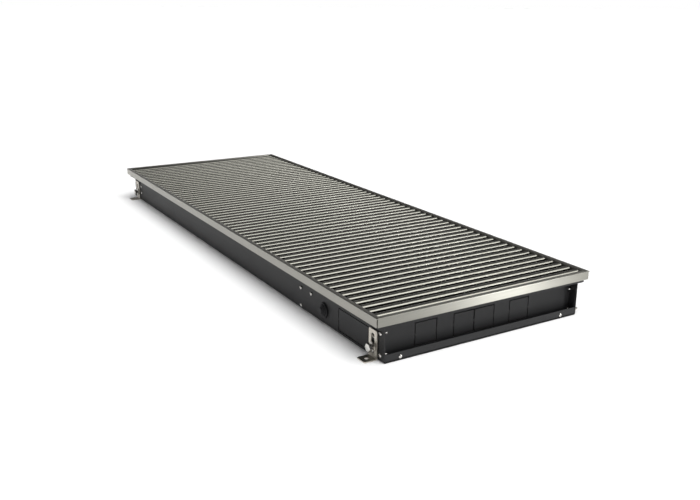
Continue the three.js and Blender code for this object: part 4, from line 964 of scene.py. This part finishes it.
nipple = turned([(0, 6.5), (0, 8.6), (0.6, 9.2),
                 *thread(0.9, 20.5, 8.7, 9.5, NIPPLE_PITCH), (20.8, 8.7), (22.0, 8.7),
                 (22.0, 12.2), (22.8, 13.0), (41.2, 13.0), (42.0, 12.2), (42.0, 6.5), (0, 6.5)],
                steps=40)
brass_block = add_copy(bmesh.new(), nipple, *(
    Matrix.Translation((across, NIPPLE_END, TUBE_LEVEL)) @ FACING["+y"] for across in TUBE_PLACES))
nipple.free()
web = bmesh.new()
bmesh.ops.create_cube(web, size=1)
bmesh.ops.scale(web, vec=(TUBE_PLACES[1] - TUBE_PLACES[0], 16, 12), verts=web.verts)
boss = turned([(0, 0), (0, 7.0), (18.0, 7.0), (19.0, 6.2), (19.0, 3.4), (8.0, 3.4), (8.0, 0)],
              steps=32)
centre = Vector((sum(TUBE_PLACES) / 2, (BLOCK_FACE + BLOCK_BACK) / 2, TUBE_LEVEL))
add_copy(brass_block, web, Matrix.Translation(centre))
add_copy(brass_block, boss, Matrix.Translation(centre) @ FACING["+z"])
web.free()
boss.free()
as_piece(brass_block, "brass_casting", "connection_block", ease=PROFILE_EASE)
print("nipple thread pitch", NIPPLE_PITCH, "mm")

# %% [markdown]
# ## Union nuts
# A hexagon nut waits on each nipple. Its corners are cut back by a chamfer when it is turned from
# bar. A cone cut from each face would be exact, and a rounded edge reads the same at this size.

# %% Union nuts
NUT_FLATS, NUT_BORE, NUT_DEPTH = 30.0, 20.4, 13.0
NUT_FACE = BLOCK_FACE - 0.3  # a hair off the block
NUT_CHAMFER = 0.9

nut = bmesh.new()
bmesh.ops.create_circle(nut, cap_ends=False, segments=6,
                        radius=NUT_FLATS / 2 / math.cos(math.pi / 6))
bmesh.ops.create_circle(nut, cap_ends=False, segments=36, radius=NUT_BORE / 2)
bmesh.ops.triangle_fill(nut, edges=nut.edges[:], use_beauty=True)
bmesh.ops.dissolve_limit(nut, angle_limit=FLAT, verts=nut.verts[:], edges=nut.edges[:])
moved(nut, bmesh.ops.extrude_face_region(nut, geom=nut.faces[:])["geom"], (0, 0, NUT_DEPTH))
for name, across in zip(("union_nut_supply", "union_nut_return"), TUBE_PLACES):
    ready = (Matrix.Translation((across, NUT_FACE, TUBE_LEVEL))
             @ Matrix.Rotation(math.pi / 2, 4, "X") @ Matrix.Rotation(math.pi / 2, 4, "Z"))
    as_piece(add_copy(bmesh.new(), nut, ready), "chamfered_" + name, name, ease=NUT_CHAMFER,
             ease_steps=3)
nut.free()
print("nuts are", NUT_FLATS, "mm across flats")

# %% [markdown]
# ## Cross-flow rotors
# Each rotor is a cage of thin curved blades between discs. Air is drawn in on one side and thrown
# out on the other along its whole length. A textured drum would do behind the grille, but not once
# the grille is lifted. The blades are strips rolled to an arc, so one is spun from a point, drawn
# out to the rotor's length, thickened and repeated round the axis.

# %% Blade, ring and disc
ROTOR_LENGTH = 423.0
ROTOR_RADIUS = 22.5
DISC_SHEET = 0.8
RING_BORE, SHAFT_RADIUS = 16.0, 3.0
BLADE_SHEET, BLADE_SWEEP = 0.5, 60  # millimetres, and degrees of its arc

blade = bmesh.new()
tip = blade.verts.new((0.5, ROTOR_RADIUS - 0.3, 0))
bmesh.ops.spin(blade, geom=[tip], cent=(0, 19, 5.5), axis=(1, 0, 0), dvec=(0, 0, 0),
               angle=math.radians(-BLADE_SWEEP), steps=5)
moved(blade, bmesh.ops.extrude_edge_only(blade, edges=blade.edges[:])["geom"],
      (ROTOR_LENGTH - 1, 0, 0))
bmesh.ops.solidify(blade, geom=blade.faces[:], thickness=BLADE_SHEET)
ring = turned([(0, RING_BORE), (0, ROTOR_RADIUS), (DISC_SHEET, ROTOR_RADIUS),
               (DISC_SHEET, RING_BORE), (0, RING_BORE)], steps=40)
disc = turned([(0, SHAFT_RADIUS), (0, ROTOR_RADIUS), (DISC_SHEET, ROTOR_RADIUS),
               (DISC_SHEET, 7.5), (1.4, 7.0), (9, 7.0), (9, SHAFT_RADIUS), (0, SHAFT_RADIUS)],
              steps=40)
print("faces of a blade:", len(blade.faces))

# %% Rotors
BLADES = 26
RINGS = 6
ROTOR_AXIS = (-162.8, 34.0)  # across, and above the floor
FAN_MIDDLE = 107.0
ROTOR_START = 32.0           # from the middle of the motor

cage = add_copy(bmesh.new(), blade, *(Matrix.Rotation(math.tau * index / BLADES, 4, "X")
                                      for index in range(BLADES)))
add_copy(cage, ring, *(Matrix.Translation((ROTOR_LENGTH * index / (RINGS + 1), 0, 0))
                       for index in range(1, RINGS + 1)))
add_copy(cage, disc, Matrix(), Matrix.Translation((ROTOR_LENGTH, 0, 0)) @ FACING["-x"])
# The near rotor's shaft runs on through the motor, the far one has a stub in its outer disc.
for end, along, shaft_start in (("near", -1, -71.0), ("far", 1, 410.0)):
    shaft = turned([(shaft_start, 0), (shaft_start, 2.5), (shaft_start + 0.5, SHAFT_RADIUS),
                    (ROTOR_LENGTH + 9.7, SHAFT_RADIUS), (ROTOR_LENGTH + 10.2, 2.5),
                    (ROTOR_LENGTH + 10.2, 0)], steps=24)
    place = Matrix.Translation((ROTOR_AXIS[0], FAN_MIDDLE + along * ROTOR_START, ROTOR_AXIS[1]))
    turn = place @ FACING["-y" if along < 0 else "+y"]
    rotor = add_copy(bmesh.new(), cage, turn)
    add_copy(rotor, shaft, turn)
    shaft.free()
    as_piece(rotor, "bladed_rotor_" + end, "fan_rotor_" + end)
for shape in (blade, ring, disc, cage):
    shape.free()
print("blades in each rotor:", BLADES)

# %% [markdown]
# ## Motor
# The motor sits between the rotors. Its shell is drawn from sheet in two cups, with a groove where
# they meet and a saddle that stands on the housing. It is round but for the saddle, so it comes
# off the lathe, and the saddle is a block whose edges are eased with the rest.

# %% Motor
SADDLE_SIZE = (28, 20, 20)
SADDLE_OFFSET, SADDLE_LEVEL = 10, 17.5

motor = turned([(-28, 3.3), (-28, 15.5), (-26.5, 17.6), (-25, 18.6), (-21, 19.2), (-20, 20.2),
                (-18, 23.4), (-17, 24.0), (-9.5, 24.0), (-9, 23.3), (-8.5, 24.0), (8.5, 24.0),
                (9, 23.3), (9.5, 24.0), (17, 24.0), (18, 23.4), (20, 20.2), (21, 19.2), (25, 18.6),
                (26.5, 17.6), (28, 15.5), (28, 3.3), (-28, 3.3)], steps=48)
saddle = bmesh.new()
bmesh.ops.create_cube(saddle, size=1)
bmesh.ops.scale(saddle, vec=SADDLE_SIZE, verts=saddle.verts)
hang = Matrix.Translation((ROTOR_AXIS[0], FAN_MIDDLE, ROTOR_AXIS[1])) @ FACING["+y"]
drum = add_copy(bmesh.new(), motor, hang)
add_copy(drum, saddle, Matrix.Translation(
    (ROTOR_AXIS[0] + SADDLE_OFFSET, FAN_MIDDLE, SADDLE_LEVEL)) @ FACING["+y"])
motor.free()
saddle.free()
shell = as_piece(drum, "drawn_motor_shell", "fan_motor", ease=0.4)
print("faces of the motor:", len(shell.data.polygons))

# %% [markdown]
# ## The remaining sheets and mouldings
# Housing sheets, brackets, box, rubber strips and corner keys are plain shapes whose only
# difference from the engineering model is that no edge of theirs is knife-sharp. There is nothing
# to model again, so each gets the rounding of its process: tight for a sheared sheet, larger for a
# moulding.

# %% Eased inner pieces
EASINGS = {0.15: ["fan_scroll", "fan_tongue", "fan_end_plate_near", "fan_end_plate_far",
                  "exchanger_bracket_near", "exchanger_bracket_far", "spreader_bar"],
           0.3: ["corner_key_near_left", "corner_key_near_right", "corner_key_far_left",
                 "corner_key_far_right", "grille_rest_strip_left", "grille_rest_strip_right",
                 "air_vent_screw", "bearing_bushing_near", "bearing_bushing_far"],
           0.6: ["control_box", "control_box_lid"]}
for width, names in EASINGS.items():
    for name in names:
        eased(name, width)

# %% [markdown]
# ## Floor and room
# The studio is a white floor that runs out of sight into a thin white haze, under a grey room. A
# white room all round would be simpler, but metal would mirror nothing but white and look like
# plaster. Here the haze stops a few degrees above the horizon, and a slightly brighter ceiling
# gives the flat parts of the bars something to mirror from any side.

# %% Floor
FLOOR_REACH = 60.0

floor_mesh = bpy.data.meshes.new("studio_floor")
floor_shape = bmesh.new()
bmesh.ops.create_grid(floor_shape, x_segments=1, y_segments=1, size=FLOOR_REACH)
floor_shape.to_mesh(floor_mesh)
floor_shape.free()
floor = bpy.data.objects.new("studio_floor", floor_mesh)
bpy.context.scene.collection.objects.link(floor)
paint = start_material("white_floor", Roughness=0.9, Specular_IOR_Level=0.0,
                       Base_Color=linear("#fbfbfb"))[0]
floor.data.materials.append(paint)
floor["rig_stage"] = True
print("floor reaches", FLOOR_REACH, "m each way")

# %% Room
HAZE_TOP = 3    # degrees above the horizon where the white haze starts to darken
ROOM_START = 7  # degrees above which only the grey room shows
ROOM_GREY = 0.12
CEILING_START, CEILING_TOP = 30, 75  # degrees between which the ceiling grows brighter
CEILING_GREY = 0.14


def sky_height(degrees):
    """The height on a unit sphere of a place so many degrees up."""
    return math.sin(math.radians(degrees))


world = bpy.data.worlds.new("white_studio")
bpy.context.scene.world = world
world.use_nodes = True
sky_tree = world.node_tree
upwards = add_node(sky_tree, "ShaderNodeSeparateXYZ", links={
    "Vector": add_node(sky_tree, "ShaderNodeTexCoord").outputs["Generated"]}).outputs["Z"]
haze = add_node(sky_tree, "ShaderNodeMapRange", interpolation_type="SMOOTHSTEP",
                values={"From Min": sky_height(HAZE_TOP), "From Max": sky_height(ROOM_START),
                        "To Min": 1.0, "To Max": ROOM_GREY},
                links={"Value": upwards})
ceiling = add_node(sky_tree, "ShaderNodeMapRange", interpolation_type="SMOOTHSTEP",
                   values={"From Min": sky_height(CEILING_START),
                           "From Max": sky_height(CEILING_TOP),
                           "To Min": 0.0, "To Max": CEILING_GREY},
                   links={"Value": upwards})
room = add_node(sky_tree, "ShaderNodeMath", operation="ADD", links={
    0: haze.outputs["Result"], 1: ceiling.outputs["Result"]})
sky_tree.links.new(room.outputs["Value"], sky_tree.nodes["Background"].inputs["Color"])
print("haze up to", HAZE_TOP, "degrees, room from", ROOM_START)

# %% [markdown]
# ## Lamps
# One soft box could do all the work, but its shadow and its reflections can't both be right at
# once. So the jobs are split, as a photographer splits them with screens. A very broad soft box
# overhead gives the light on the floor and on the coat: its shadow starts dark at the trough and
# is gone within a hand's width. It is set up as a sun with a wide disc, so that it lights the
# floor evenly however far away, and metal doesn't see it. What the bars mirror is a reflector
# card to the right, which draws the line of light along each crown and lights nothing else. A
# narrow, low soft box in front of the near end makes the upright patch in the brushed frame.

# %% Lamp helpers
SUN_DISTANCE = 3.0  # only for the look of the viewport, a sun's light doesn't depend on it


def direction(elevation, azimuth):
    """A unit vector from angles in degrees; azimuth 0 is +X and -90 is the near end."""
    flat_part = math.cos(math.radians(elevation))
    return Vector((flat_part * math.cos(math.radians(azimuth)),
                   flat_part * math.sin(math.radians(azimuth)),
                   math.sin(math.radians(elevation))))


def add_lamp(name, kind, place, target, **settings):
    """A lamp at a place, turned to face a point."""
    data = bpy.data.lights.new(name, kind)
    for setting, value in settings.items():
        setattr(data, setting, value)
    lamp = bpy.data.objects.new(name, data)
    bpy.context.scene.collection.objects.link(lamp)
    lamp.location = place
    lamp.rotation_euler = (Vector(target) - Vector(place)).to_track_quat("-Z", "Y").to_euler()
    return lamp


print("overhead light comes from", [round(part, 2) for part in direction(68, -85)])

# %% Lamps
overhead = add_lamp("soft_box_overhead", "SUN", SUN_DISTANCE * direction(68, -85), (0, 0, 0),
                    energy=3.15, angle=math.radians(50))
overhead.visible_glossy = False
card = add_lamp("reflector_card", "SUN", SUN_DISTANCE * direction(48, -38), (0, 0, 0),
                energy=0.95, angle=math.radians(38))
card.visible_diffuse = False
add_lamp("soft_box_front", "AREA", (1.6, -2.5, 0.42), (0.0, -0.64, 0.2),
         shape="RECTANGLE", size=0.28, size_y=0.8, energy=22)
bpy.context.scene.view_settings.view_transform = "Standard"

# %% [markdown]
# ## Sizes
# A rounded edge or a taller screw head could push the dressed heater out of the box of the
# engineering model without anyone noticing. So the size of the dressed heater is printed.

# %% Sizes, then finish
low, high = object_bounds()
print("dressed size:", [round((top - bottom) / MM, 1) for bottom, top in zip(low, high)], "mm")
